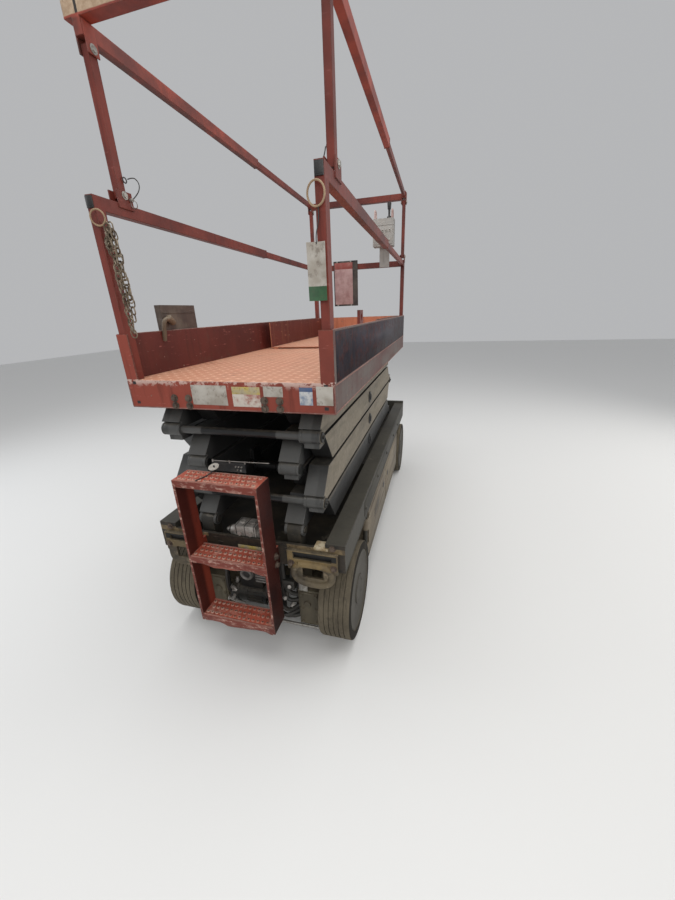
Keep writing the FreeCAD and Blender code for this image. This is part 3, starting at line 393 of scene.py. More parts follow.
# Solid tyre: dull grey-brown tread, scuffed and cut, with dark side walls.
def rubberFinish():
    f = Finish("rubberGrey")
    broad, fine, dark = f.noise(7), f.noise(95, 5, 0.7), (0.045, 0.038, 0.03)
    f.paint = f.mix(broad.over(0.35, 0.68), (0.132, 0.111, 0.078), (0.092, 0.077, 0.055))
    f.lay(fine.over(0.5, 0.72) * 0.35, (0.2, 0.17, 0.125))
    f.lay(f.noise(34, 3).over(0.62, 0.68) * 0.35, dark)
    f.lay(f.flank.over(0.8, 0.95) * 0.95, (0.012, 0.01, 0.007))
    cuts = f.drawn((90, 14, 14), 3).over(0.58, 0.66) * 0.5
    f.lay(cuts, dark)
    return f.shade(0.78 + fine * 0.12, fine * 0.4 + broad * 0.3 - cuts, gloss=0.2)


# Small things: two colours, some grit, hardly any relief.
def plainFinish(name, colour, second, rough, metal=0.0, scale=30, grit=0.0):
    f = Finish(name)
    broad, fine = f.noise(scale), f.noise(scale * 6, 4)
    f.paint = f.mix(broad.over(0.38, 0.66), colour, second)
    if grit:
        f.lay(f.noise(scale * 2.2, 5, 0.7).over(0.54, 0.66) * grit, (0.085, 0.055, 0.036))
    return f.shade(rough + fine * 0.15, fine, 0.0002, metal)


finishes = {
    "rails": enamel("railRed", (0.19, 0.036, 0.024), (0.085, 0.019, 0.015), dust=(0.17, 0.085, 0.07), dusty=0.2,
                    chips=0.8, rough=0.36),
    "gripRed": enamel("gripRed", (0.6, 0.33, 0.25), (0.44, 0.14, 0.09), (0.7, 0.56, 0.48), dusty=0.3, chips=1.0),
    "wornEdge": enamel("wornEdge", (0.34, 0.095, 0.065), (0.17, 0.045, 0.032), (0.6, 0.45, 0.38),
                       (0.45, 0.3, 0.24), 0.45, 1.0, rough=0.45),
    # pale pink on the wall folds: worn paint and a painted highlight along the bends
    "foldPale": enamel("foldPale", (0.3, 0.13, 0.11), (0.16, 0.05, 0.042), (0.55, 0.45, 0.4), dusty=0.3,
                       chips=0.8, rough=0.45),
    "band": enamel("bandDark", (0.036, 0.03, 0.042), (0.021, 0.018, 0.026), (0.12, 0.035, 0.028),
                   (0.085, 0.07, 0.08), 0.35, rough=0.45),
    "axle": enamel("axleGrey", (0.142, 0.121, 0.079), (0.074, 0.063, 0.043), dust=(0.15, 0.125, 0.085), dusty=0.6,
                   chips=0.4),
    "disc": enamel("discGrey", (0.086, 0.079, 0.066), (0.064, 0.058, 0.048), dust=(0.11, 0.1, 0.08), dusty=0.3,
                   chips=0.15, streaks=0.2, rough=0.55),
    "pump": enamel("pumpBlack", (0.014, 0.015, 0.014), (0.007, 0.008, 0.008), dust=(0.1, 0.085, 0.065),
                   dusty=0.45, chips=0.3, rough=0.35),
    "sideBox": enamel("boxBrown", (0.088, 0.062, 0.052), (0.052, 0.036, 0.032), chips=0.4),
    "boxGrey": enamel("boxGrey", (0.36, 0.35, 0.33), (0.26, 0.25, 0.235), dusty=0.4, chips=0.4),
    "guardPale": enamel("guardPale", (0.55, 0.4, 0.37), (0.35, 0.16, 0.14), dusty=0.3, chips=0.8, rough=0.45),
    "couplingTan": enamel("couplingTan", (0.19, 0.13, 0.085), (0.1, 0.07, 0.045), chips=0.4, rough=0.45),
    "ringTan": enamel("ringTan", (0.42, 0.3, 0.19), (0.26, 0.17, 0.1), dusty=0.3, chips=0.6, rough=0.55),
    "board": enamel("boardDark", (0.04, 0.034, 0.033), (0.022, 0.02, 0.02), dusty=0.3, chips=0.4),
    "red": enamel("stopRed", (0.45, 0.03, 0.02), (0.3, 0.02, 0.015), dusty=0.2, chips=0.1, rough=0.35),
    "skirt": deckFinish("skirtRed", (0.27, 0.056, 0.036), (0.165, 0.038, 0.027), (0.5, 0.24, 0.17), 0.25),
    "deck": deckFinish("deckRed", (0.5, 0.185, 0.105), (0.41, 0.14, 0.078), (0.66, 0.4, 0.27), 0.58),
    "chassis": chassisFinish(),
    "tray": trayFinish(),
    "lug": lugFinish(),
    "arms": armFinish(),
    "bar": barFinish(),
    "ladder": ladderFinish(),
    "rubber": rubberFinish(),
    "bolt": plainFinish("boltZinc", (0.42, 0.41, 0.38), (0.26, 0.24, 0.21), 0.34, 0.8, 60, 0.5),
    "dirtyBolt": plainFinish("boltDirty", (0.15, 0.11, 0.085), (0.07, 0.05, 0.04), 0.55, 0.4, 60, 0.5),
    "black": plainFinish("plasticBlack", (0.016, 0.016, 0.017), (0.028, 0.026, 0.025), 0.42),
    "cardWhite": plainFinish("cardWhite", (0.45, 0.42, 0.375), (0.33, 0.295, 0.25), 0.55, 0, 22, 0.45),
    "cardYellow": plainFinish("cardYellow", (0.5, 0.38, 0.085), (0.4, 0.34, 0.22), 0.55, 0, 40, 0.5),
    "cardWorn": plainFinish("cardWorn", (0.56, 0.5, 0.44), (0.3, 0.1, 0.07), 0.55, 0, 34, 0.3),
    "cardFigure": plainFinish("cardFigure", (0.5, 0.5, 0.5), (0.2, 0.24, 0.32), 0.5, 0, 60, 0.3),
    "hose": plainFinish("hoseBlack", (0.014, 0.014, 0.013), (0.03, 0.027, 0.022), 0.5, 0, 20, 0.15),
    "portGrey": plainFinish("portGrey", (0.2, 0.19, 0.18), (0.12, 0.115, 0.105), 0.45, 0.2, 40, 0.3),
    "cardTan": plainFinish("cardTan", (0.5, 0.43, 0.3), (0.3, 0.22, 0.12), 0.55, 0, 46, 0.7),
    "cardBlue": plainFinish("cardBlue", (0.05, 0.09, 0.2), (0.09, 0.12, 0.2), 0.5, 0, 40, 0.3),
    "cardGreen": plainFinish("cardGreen", (0.035, 0.11, 0.045), (0.025, 0.075, 0.032), 0.5, 0, 30, 0.3),
    "panelPale": plainFinish("panelPale", (0.4, 0.26, 0.25), (0.3, 0.17, 0.165), 0.5, 0, 18, 0.25),
    "panelRed": plainFinish("panelRed", (0.24, 0.05, 0.04), (0.3, 0.12, 0.1), 0.5, 0, 18, 0.3),
    "chain": plainFinish("chainSteel", (0.27, 0.22, 0.16), (0.1, 0.075, 0.05), 0.4, 0.6, 40, 0.6),
    "chrome": plainFinish("chromeRod", (0.62, 0.62, 0.62), (0.55, 0.55, 0.55), 0.12, 1.0),
    "silver": plainFinish("valveSilver", (0.42, 0.4, 0.37), (0.24, 0.22, 0.2), 0.36, 0.5, 26, 0.6),
}
dressed = {
    "rails": "lower_rails extension_rails upper_posts_rear upper_posts_front top_rail_front lanyard_anchor",
    "bar": "top_rail_main",
    "skirt": "platform_sides",
    "deck": "extension_deck platform_floor",
    "ladder": "entry_ladder",
    "arms": "lift_barrel inner_arms_1 inner_arms_2 inner_arms_3 inner_arms_4 "
            "outer_arms_1 outer_arms_2 outer_arms_3 outer_arms_4",
    "chassis": "chassis_frame",
    "tray": "tray_left tray_right",
    "axle": "rear_axle front_axle knuckle_left knuckle_right tie_rod",
    "lug": "tie_down_plates",
    "disc": "hub_rear_left hub_rear_right hub_front_left hub_front_right",
    "pump": "drive_pump valve_block",
    "boxGrey": "control_box",
    "board": "instruction_board",
    "chrome": "lift_rod",
    "sideBox": "side_box",
}
for finish, names in dressed.items():
    for name in names.split():
        nodes[name].data.materials.clear()
        nodes[name].data.materials.append(finishes[finish])
print("finishes made")

# Mesh helpers


def soften(mesh, edges, width):
    bmesh.ops.bevel(mesh, geom=edges, offset=width, offset_type="OFFSET", segments=2, profile=0.5,
                    affect="EDGES", material=-1)


def brick(mesh, first, second, edge=0.0, turn=Matrix()):  # a box between two opposite corners
    low, high = (Vector([pick(pair) for pair in zip(first, second)]) for pick in (min, max))
    matrix = Matrix.Translation((low + high) / 2) @ turn @ Matrix.Diagonal((*(high - low), 1))
    verts = bmesh.ops.create_cube(mesh, size=1, matrix=matrix)["verts"]
    if edge:
        soften(mesh, list({e for v in verts for e in v.link_edges}), edge)


def rod(mesh, start, end, radius, sides=20, endRadius=None, edge=0.0):
    start, end = Vector(start), Vector(end)
    matrix = Matrix.Translation((start + end) / 2) @ (end - start).to_track_quat("Z", "Y").to_matrix().to_4x4()
    verts = bmesh.ops.create_cone(mesh, cap_ends=True, segments=sides, radius1=radius, depth=(end - start).length,
                                  radius2=radius if endRadius is None else endRadius, matrix=matrix)["verts"]
    if edge:
        edges = {e for v in verts for e in v.link_edges}
        soften(mesh, [e for e in edges if any(len(f.verts) == sides for f in e.link_faces)], edge)


def circle(count, radius, start=0):
    angles = (math.radians(360 / count * n + start) for n in range(count))
    return [(radius * math.cos(a), radius * math.sin(a)) for a in angles]


def lathe(mesh, profile, centre, axis, steps=48):  # profile: closed list of (along, radius)
    axis = Vector(axis).normalized()
    side = axis.orthogonal().normalized()
    verts = [mesh.verts.new(Vector(centre) + axis * a + side * r) for a, r in profile]
    edges = [mesh.edges.new((verts[n - 1], verts[n])) for n in range(len(verts))]
    bmesh.ops.spin(mesh, geom=verts + edges, cent=centre, axis=axis, angle=2 * math.pi, steps=steps,
                   use_merge=True)


def ring(mesh, centre, axis, radius, thick, steps=28, sides=8):
    lathe(mesh, [(along, radius + out) for out, along in circle(sides, thick)], centre, axis, steps)


def bolt(mesh, place, facing, across=0.016, height=0.007, washer=True):
    place, facing = Vector(place), Vector(facing)
    if washer:
        rod(mesh, place, place + facing * 0.002, across * 0.78, 16)
    rod(mesh, place, place + facing * height, across / 2 * 1.15, 6, across / 2 * 1.05)


def pipe(mesh, points, radius, sides=6):
    data = bpy.data.curves.new("route", "CURVE")
    data.dimensions, data.resolution_u, data.use_fill_caps = "3D", 8, True
    data.bevel_depth, data.bevel_resolution = radius, sides
    spline = data.splines.new("NURBS")
    spline.points.add(len(points) - 1)
    for point, place in zip(spline.points, points):
        point.co = (*place, 1)
    spline.order_u, spline.use_endpoint_u = 3, True
    route = bpy.data.objects.new("route", data)
    made = bpy.data.meshes.new_from_object(route)
    mesh.from_mesh(made)
    bpy.data.objects.remove(route)
    bpy.data.meshes.remove(made)
    bpy.data.curves.remove(data)


def sheet(place, wide, tall, columns, rows):  # an upright grid that faces the rear
    mesh = bmesh.new()
    matrix = Matrix.Translation(place) @ turned("X", 90) @ Matrix.Diagonal((wide, tall, 1, 1))
    bmesh.ops.create_grid(mesh, x_segments=columns, y_segments=rows, size=0.5, matrix=matrix)
    return mesh


def thicken(mesh, thickness):
    bmesh.ops.solidify(mesh, geom=mesh.verts[:] + mesh.edges[:] + mesh.faces[:], thickness=thickness)


def pour(mesh, part):
    data = bpy.data.meshes.new("part")
    part.to_mesh(data)
    part.free()
    mesh.from_mesh(data)
    bpy.data.meshes.remove(data)


def done(name, mesh, finish, body, replaced=(), sharp=35):
    bmesh.ops.recalc_face_normals(mesh, faces=mesh.faces)
    data = bpy.data.meshes.new(name)
    mesh.to_mesh(data)
    mesh.free()
    data.polygons.foreach_set("use_smooth", [True] * len(data.polygons))
    data.set_sharp_from_angle(angle=math.radians(sharp))
    data.materials.append(finishes[finish])
    piece = placed(name, data)
    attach(piece, body)
    if replaced:
        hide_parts(*replaced)


# Wheels

wheels = {"reach": 0.405, "width": 0.127, "radius": 0.203, "axles": {"rear": -0.835, "front": 0.895}, "steps": 72,
          "shoulder": 0.004, "rim": 0.132, "grooves": 5, "grooveWide": 0.0028, "grooveDeep": 0.003,
          "spacing": 0.0195, "disc": 0.1655, "sunk": 0.007, "lugs": 6, "lugCircle": 0.048, "lugTurn": 12}
# outward from the sunk side wall, radius
discProfile = ((-0.006, 0.0), (-0.006, 0.13), (-0.0005, 0.134), (-0.0005, 0.164), (0.0, 0.1655),
               (0.0045, 0.1655), (0.0055, 0.1635), (0.0055, 0.159), (0.004, 0.157), (0.0012, 0.145),
               (0.0005, 0.062), (0.0018, 0.056), (0.0018, 0.04), (0.0042, 0.036), (0.0052, 0.0))


def treadProfile():
    w, r, s, disc = wheels["width"] / 2, wheels["radius"], wheels["shoulder"], wheels["disc"]
    deep, half, inward = wheels["grooveDeep"], wheels["grooveWide"] / 2, w - wheels["sunk"]
    wall = [(inward, wheels["rim"]), (inward, disc + 0.001), (w, disc + 0.003), (w, r - s),
            (w - s * 0.3, r - s * 0.3), (w - s, r)]
    profile = [(-x, radius) for x, radius in wall]
    for n in range(wheels["grooves"]):
        x = (n - (wheels["grooves"] - 1) / 2) * wheels["spacing"]
        profile += [(x - half, r), (x - half * 0.8, r - deep), (x + half * 0.8, r - deep), (x + half, r)]
    return profile + wall[::-1]


def makeWheels():
    for end, axleY in wheels["axles"].items():
        for side, sign in (("left", -1), ("right", 1)):
            body, label = f"wheel_{end}_{side}", end.title() + side.title()
            hub, out = Vector((0, axleY, wheels["radius"])), Vector((sign, 0, 0))
            mesh = bmesh.new()
            lathe(mesh, treadProfile(), hub + out * (wheels["reach"] - wheels["width"] / 2), (1, 0, 0),
                  wheels["steps"])
            done("tyre" + label, mesh, "rubber", body, (f"tyre_{end}_{side}",), 25)
            face = hub + out * (wheels["reach"] - wheels["sunk"])
            mesh = bmesh.new()
            lathe(mesh, [(sign * x, r) for x, r in discProfile], face, (1, 0, 0), wheels["steps"])
            for y, z in circle(wheels["lugs"], wheels["lugCircle"], wheels["lugTurn"]):
                bolt(mesh, face + out * 0.0016 + Vector((0, y, z)), out, 0.011, 0.0045, False)
            done("wheelDisc" + label, mesh, "disc", body)


# Rear skirt and side walls

skirt = {"face": -1.015, "front": 1.084, "thin": 0.0009, "boltX": (-0.195, -0.139, 0.142, 0.195),
         "boltZ": (1.067, 1.041), "slotX": 0.349, "slotZ": (1.1165, 1.048), "wall": 0.3775, "foldX": 0.376}
folds = (  # x, rear end, z, radius: the walls' turned-in lips and their upper fold, pale from worn paint and a painted highlight along the bends
    (0.3775, -1.014, 1.1185, 0.0022), (0.3775, -1.014, 1.0325, 0.0022), (0.375, -1.013, 1.2755, 0.0026))
plates = {
    # name: left, right, low, high, finish
    "plateWide": (-0.123, 0.01, 1.047, 1.113, "cardWhite"),
    "plateYellow": (0.03, 0.13, 1.086, 1.11, "cardYellow"),
    "plateWorn": (0.03, 0.13, 1.045, 1.086, "cardWorn"),
    "plateSmall": (0.142, 0.208, 1.08, 1.113, "cardWhite"),
    "plateBlue": (0.263, 0.306, 1.099, 1.112, "cardBlue"),
    "plateFigure": (0.263, 0.306, 1.057, 1.099, "cardFigure"),
    "plateSquare": (0.318, 0.371, 1.058, 1.116, "cardWhite"),
}


def makeSkirt():
    face, front, wall, fold = skirt["face"], skirt["front"], skirt["wall"], skirt["foldX"]
    mesh = bmesh.new()
    for x in skirt["boltX"]:
        for z in skirt["boltZ"]:
            bolt(mesh, (x, face, z), (0, -1, 0), 0.017, 0.009)
    done("skirtBolts", mesh, "dirtyBolt", "platform")
    # painted shade: thin black sheets in the skirt slots stand in for their dark inside
    mesh = bmesh.new()
    for x in (-skirt["slotX"], skirt["slotX"]):
        for z in skirt["slotZ"]:
            brick(mesh, (x - 0.0065, face - 0.0006, z - 0.005), (x + 0.0065, face + 0.001, z + 0.005))
    done("skirtSlots", mesh, "black", "platform")
    for name, (left, right, low, high, finish) in plates.items():
        mesh = bmesh.new()
        brick(mesh, (left, face - skirt["thin"], low), (right, face + 0.001, high), 0.0003)
        done(name, mesh, finish, "platform")
    mesh = bmesh.new()
    for side in (-1, 1):
        for x, rear, z, thick in folds:
            rod(mesh, (side * x, rear, z), (side * x, front, z), thick, 10)
        rod(mesh, (side * fold, -1.0145, 1.032), (side * fold, -1.0145, 1.122), 0.0022, 8)
    rod(mesh, (-fold, -1.0145, 1.0315), (fold, -1.0145, 1.0315), 0.0022, 10)
    done("wallFolds", mesh, "foldPale", "platform")
    for side, name in ((-1, "Left"), (1, "Right")):
        mesh = bmesh.new()
        brick(mesh, (side * wall, -0.992, 1.124), (side * (wall + 0.0007), 1.08, 1.271), 0.0002)
        done("wallBand" + name, mesh, "band", "platform")


# Ladder

ladder = {"left": -0.18, "right": 0.124, "rear": -1.12, "front": -1.032, "tops": (0.205, 0.489, 0.805),
          "columns": 15, "rows": 3, "rowPitch": 0.026, "nose": 0.0036, "teeth": 24, "toothPitch": 0.0125,
          "boltX": 0.161, "boltZ": (0.485, 0.448), "bends": {0.205: 0.01, 0.489: 0.008}}


def bentLip(top, depth):  # a rung's lower lip, bent by use
    rear, middle = ladder["rear"], (ladder["left"] + ladder["right"]) / 2
    lip = sheet((middle, rear + 0.0025, top - 0.02), 0.3, 0.02, 64, 2)
    for vert in lip.verts:
        if vert.co.z < top - 0.025:
            vert.co.z -= depth * (0.5 + 0.5 * math.sin(vert.co.x * 46 + top * 5) * math.sin(vert.co.x * 19 + top))
            vert.co.y += 0.004 * math.sin(vert.co.x * 33)
    thicken(lip, 0.0022)
    for vert in lip.verts:
        vert.co.y = max(vert.co.y, rear + 0.0002)
    return lip


def makeLadderGrips():
    left, right, rear = ladder["left"], ladder["right"], ladder["rear"]
    grips, holes, noses = bmesh.new(), bmesh.new(), bmesh.new()
    for top in ladder["tops"]:
        for row in range(ladder["rows"]):
            odd, y = row % 2, rear + 0.018 + row * ladder["rowPitch"]
            for column in range(ladder["columns"] - odd):
                x = left + (right - left) / ladder["columns"] * (column + 0.5 + 0.5 * odd)
                for mesh, sides, low, high, rise in ((grips, 10, 0.0082, 0.0052, 0.001),
                                                     (holes, 8, 0.0026, 0.0026, 0.0013)):
                    bmesh.ops.create_cone(mesh, cap_ends=True, segments=sides, radius1=low, radius2=high,
                                          depth=0.0036, matrix=Matrix.Translation((x, y, top + rise)))
        for y in (rear + 0.0038, ladder["front"] - 0.0038):
            rod(noses, (left, y, top - 0.0008), (right, y, top - 0.0008), ladder["nose"], 10)
        for n in range(ladder["teeth"]):  # the serrated front lip
            x, y = left + 0.008 + n * ladder["toothPitch"], rear + 0.0018
            rod(noses, (x, y, top - 0.004), (x, y, top - 0.013), 0.0016, 6)
    for top, depth in ladder["bends"].items():
        pour(noses, bentLip(top, depth))
    done("rungGrips", grips, "gripRed", "chassis")
    # painted shade: black discs stand in for the dark inside of the grip holes
    done("rungHoles", holes, "black", "chassis")
    done("rungNoses", noses, "wornEdge", "chassis")
    mesh = bmesh.new()
    for side in (-1, 1):
        for z in ladder["boltZ"]:
            bolt(mesh, ((left + right) / 2 + side * ladder["boltX"], -1.045, z), (side, 0, 0), 0.018, 0.01)
    done("ladderBolts", mesh, "dirtyBolt", "chassis")


# Rails

rails = {"x": 0.356, "half": 0.013, "rearFace": -1.01, "rearPost": -0.885, "frontPost": 1.042, "lowPin": 1.693,
         "highPin": 2.042, "lock": (-0.865, 1.684), "splice": 0.1453}
pinned = {"platform": ("rearPost", "lowPin"), "extension": ("frontPost", "lowPin"),
          "upper_posts_rear": ("rearPost", "highPin"), "upper_posts_front": ("frontPost", "highPin")}
lanyard = ((0.0, -0.865, 1.684), (-0.012, -0.852, 1.7), (-0.016, -0.838, 1.722), (-0.01, -0.832, 1.742),
           (-0.004, -0.845, 1.752), (0.004, -0.862, 1.742))
barPlug = {"x": (-0.395, 0.391), "thick": 0.0048, "low": (-0.905, 2.105), "high": (-0.873, 2.137)}
postRings = ((0.347, 1.598, 0.35, 0.027, 40), (-0.3345, 1.607, -0.3, 0.021, 36))  # x, z, turn, radius, steps


def lockPin(mesh, x, side):
    y, z = rails["lock"]
    rod(mesh, (x - side * 0.004, y, z), (x + side * 0.01, y, z), 0.0055, 14, edge=0.001)
    ring(mesh, (x + side * 0.011, y, z - 0.012), (0, 1, 0.25), 0.012, 0.0014, 24, 6)


def makeRailFittings():
    half, rear = rails["half"], rails["rearFace"]
    for body, (post, pin) in pinned.items():
        mesh = bmesh.new()
        for x in (-rails["x"], rails["x"]):
            for face in (-1, 1):
                bolt(mesh, (x + face * (half + 0.004), rails[post], rails[pin]), (face, 0, 0), 0.015, 0.006)
            if body == "upper_posts_rear":
                side = math.copysign(1, x)
                lockPin(mesh, x - side * (half + 0.005), -side)
        done("railBolts" + body.title().replace("_", ""), mesh, "bolt", body)
    plugs, rings, lanyards = bmesh.new(), bmesh.new(), bmesh.new()
    for side in (-1, 1):
        x = side * rails["x"]
        brick(plugs, (x - half + 0.001, rear - 0.004, 1.634), (x + half - 0.001, rear + 0.002, 1.666), 0.0015)
        brick(plugs, (x - half + 0.004, rear - 0.0048, 1.638), (x + half - 0.004, rear - 0.003, 1.662), 0.001)
        pipe(lanyards, [(x - side * (half + 0.012 - inward), y, z) for inward, y, z in lanyard], 0.0016, 3)
        ring(rings, (x - side * (half + 0.003), -0.87, 1.738), (1, 0, 0), 0.0075, 0.002, 20, 6)
    done("railPlugs", plugs, "black", "platform")
    done("lanyardRings", rings, "black", "upper_posts_rear")
    done("pinLanyards", lanyards, "black", "upper_posts_rear")
    mesh = bmesh.new()
    for x in barPlug["x"]:
        brick(mesh, (x, *barPlug["low"]), (x + barPlug["thick"], *barPlug["high"]), 0.001)
    done("barPlugs", mesh, "black", "top_rail")
    for name, z, body in (("tubeCollars", 1.65, "platform"), ("barCollars", 2.083, "top_rail")):
        mesh = bmesh.new()
        for x in (-rails["x"], rails["x"]):
            brick(mesh, (x - 0.0142, rails["splice"] - 0.009, z - 0.0202), (x + 0.0142, rails["splice"], z + 0.0202),
                  0.0015)
        done(name, mesh, "rails", body)
    mesh = bmesh.new()
    for x, z, turn, radius, steps in postRings:
        ring(mesh, (x, -1.0165, z), (turn, 1, 0.1), radius, 0.0026, steps)
    done("postRings", mesh, "ringTan", "platform")


# Chain

chain = {"link": 0.03, "wide": 0.0085, "thick": 0.0021, "pitch": 0.0222, "top": 1.588, "gathered": 9}
strands = (  # x, y, first link's offset, drop
    (-0.33, -1.0, 0.0, 0.348), (-0.317, -1.012, 0.4, 0.33), (-0.321, -0.988, 0.8, 0.285),
    (-0.309, -0.999, 0.2, 0.225))


def makeChain():
    mesh = bmesh.new()
    for strand, (x, y, start, drop) in enumerate(strands):
        for n in range(int(drop / chain["pitch"])):
            down = (n + start) * chain["pitch"]
            sway = 0.003 * math.sin(n * 1.7 + strand * 2)
            centre = (x + sway + down * 0.045, y + 0.003 * math.cos(n * 1.3 + strand), chain["top"] - down)
            turn = turned("Z", 90 * (n % 2) + 25 * math.sin(n + strand)) @ turned("Y", 7 * math.sin(n * 2.1 + strand))
            link = bmesh.new()
            ring(link, (0, 0, 0), (0, 1, 0), chain["wide"], chain["thick"], 16, 6)
            for vert in link.verts:  # stretch the ring into a link
                vert.co.z += math.copysign(chain["link"] / 2 - chain["wide"] - chain["thick"], vert.co.z)
            bmesh.ops.transform(link, matrix=Matrix.Translation(centre) @ turn, verts=link.verts)
            pour(mesh, link)
    for n, (x, y) in enumerate(circle(chain["gathered"], 1)):  # the gathered end below the ring
        ring(mesh, (-0.323 + 0.008 * x, -1.003 + 0.008 * y, 1.575 - 0.006 * n), (x, y, 0.5), 0.01, 0.0022, 16, 6)
    done("entryChain", mesh, "chain", "platform", ("entry_chain",))


# Tags

tag = {"middle": 0.343, "left": 0.318, "wide": 0.05, "low": 1.352, "high": 1.492, "y": -1.028, "green": 0.036}
stepTag = {"centre": (-0.073, -1.036, 0.812), "radius": 0.019, "lean": -20, "rise": 0.016}


def makeTag():
    for name, low, high, finish in (("tagCard", tag["low"] + tag["green"], tag["high"], "cardWhite"),
                                    ("tagBand", tag["low"], tag["low"] + tag["green"], "cardGreen")):
        mesh = sheet((tag["middle"], tag["y"], (low + high) / 2), tag["wide"], high - low, 8, 8)
        for vert in mesh.verts:  # a card that bows a little
            vert.co.y += 0.006 * math.sin((vert.co.x - tag["left"]) * 55) + 0.02 * (vert.co.z - tag["high"]) ** 2
        thicken(mesh, 0.0008)
        done(name, mesh, finish, "platform")
    mesh = bmesh.new()
    pipe(mesh, [(0.345, -1.026, 1.487), (0.347, -1.034, 1.505), (0.35, -1.02, 1.53), (0.352, -1.013, 1.56),
                (0.35, -1.014, 1.574)], 0.0013, 3)
    done("tagTie", mesh, "black", "platform")


def makeStepTag():
    mesh, centre = bmesh.new(), Vector(stepTag["centre"])
    rod(mesh, centre, centre + Vector((0, -0.0005, 0.0006)), stepTag["radius"], 28)
    bmesh.ops.rotate(mesh, verts=mesh.verts, cent=centre, matrix=turned("X", stepTag["lean"]).to_3x3())
    bmesh.ops.translate(mesh, verts=mesh.verts, vec=(0, 0, stepTag["rise"]))
    done("stepTag", mesh, "cardWhite", "chassis")
    mesh = bmesh.new()
    pipe(mesh, [(-0.072, -1.038, 0.826), (-0.066, -1.05, 0.818), (-0.082, -1.075, 0.8085), (-0.094, -1.1, 0.808),
                (-0.098, -1.112, 0.8065)], 0.0022, 4)
    pipe(mesh, [(-0.072, -1.036, 0.834), (-0.068, -1.04, 0.826), (-0.064, -1.036, 0.818)], 0.0028, 4)
    done("stepTie", mesh, "black", "chassis")


# Board and boxes


def makeBoards():
    low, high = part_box("instruction_board")
    for name, rise, back, bottom, edge, finish in (("boardPanel", 0.0025, 0.001, low.z + 0.012, 0.001, "panelPale"),
                                                   ("boardBand", 0.0032, 0, high.z - 0.058, 0.0006, "panelRed")):
        mesh = bmesh.new()
        brick(mesh, (low.x + 0.008, low.y - rise, bottom), (high.x - 0.04, low.y + back, high.z - 0.012), edge)
        done(name, mesh, finish, "extension")
    mesh = bmesh.new()
    for x in (low.x + 0.03, high.x - 0.055):
        for z in (low.z + 0.006, high.z - 0.006):
            bolt(mesh, (x, low.y, z), (0, -1, 0), 0.008, 0.003)
    done("boardBolts", mesh, "bolt", "extension")


guard = {"apart": 0.062, "radius": 0.005, "hoop": ((0.006, -0.004), (0.006, 0.03), (0.012, 0.052), (0.035, 0.058),
                                                   (0.06, 0.055), (0.072, 0.03), (0.072, -0.004))}


def makeControlBox():
    low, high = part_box("control_box")
    left, face, top, middle, base = low.x, low.y - 0.003, high.z, (low.x + high.x) / 2, high.z - 0.176
    mesh = bmesh.new()  # face plate and lid lip
    brick(mesh, (left + 0.008, face, base + 0.01), (high.x - 0.008, face + 0.005, top - 0.052), 0.0015)
    brick(mesh, (left - 0.002, face + 0.001, top - 0.044), (high.x + 0.002, high.y - 0.042, top - 0.038), 0.001)
    done("boxFace", mesh, "boxGrey", "extension")
    mesh = bmesh.new()
    x, y = middle + 0.04, (low.y + high.y) / 2 - 0.02
    for start, end, radius, sides, tip, edge in ((-0.002, 0.014, 0.02, 24, 0.013, 0.002),
                                                 (0.01, 0.062, 0.007, 16, 0.008, 0),
                                                 (0.055, 0.098, 0.012, 20, 0.015, 0.004)):
        rod(mesh, (x, y, top + start), (x, y, top + end), radius, sides, tip, edge)
    done("joystick", mesh, "black", "extension")
    mesh = bmesh.new()
    x, z = left + 0.036, top - 0.09
    rod(mesh, (x, face, z), (x, face - 0.012, z), 0.009)
    rod(mesh, (x, face - 0.011, z), (x, face - 0.021, z), 0.019, 28, 0.017, 0.003)
    done("stopButton", mesh, "red", "extension")
    mesh = bmesh.new()
    for x in (middle - guard["apart"], middle + guard["apart"]):
        pipe(mesh, [(x, low.y + y, top + z) for y, z in guard["hoop"]], guard["radius"], 4)
    done("boxGuard", mesh, "guardPale", "extension")
    mesh = bmesh.new()
    for n in range(3):
        x, z = left + 0.072 + n * 0.026, top - 0.08
        rod(mesh, (x, face, z), (x, face - 0.004, z), 0.0075, 16)
        rod(mesh, (x, face, z), (x, face - 0.017, z + 0.007), 0.0026, 10)
    for n in range(4):
        x, z = left + 0.03 + n * 0.03, base + 0.04
        rod(mesh, (x, face, z), (x, face - 0.006, z), 0.008, 16, edge=0.001)
    done("boxSwitches", mesh, "bolt", "extension")


def makeSideBox():
    low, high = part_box("side_box")
    mesh = bmesh.new()
    brick(mesh, (low.x - 0.0009, low.y + 0.006, high.z - 0.03), (high.x + 0.002, high.y - 0.006, high.z - 0.027),
          0.0008)
    for y in (low.y + 0.045, high.y - 0.045):
        brick(mesh, (low.x - 0.0012, y - 0.008, high.z - 0.045), (low.x + 0.003, y + 0.008, high.z - 0.016), 0.001)
    done("sideBoxLid", mesh, "sideBox", "platform")
    mesh = bmesh.new()  # coupling and its bent pipe inside the wall, behind the entry
    pipe(mesh, [(-0.3715, -0.8, 1.24), (-0.366, -0.8, 1.262), (-0.362, -0.8, 1.292), (-0.361, -0.794, 1.312),
                (-0.361, -0.774, 1.321), (-0.363, -0.752, 1.315)], 0.0082, 5)
    rod(mesh, (-0.362, -0.766, 1.325), (-0.364, -0.74, 1.303), 0.0125, 20, edge=0.002)
    done("airCoupling", mesh, "couplingTan", "platform")


# Scissor arms: pin ends, centre nuts, and a fittings plate between the second pair

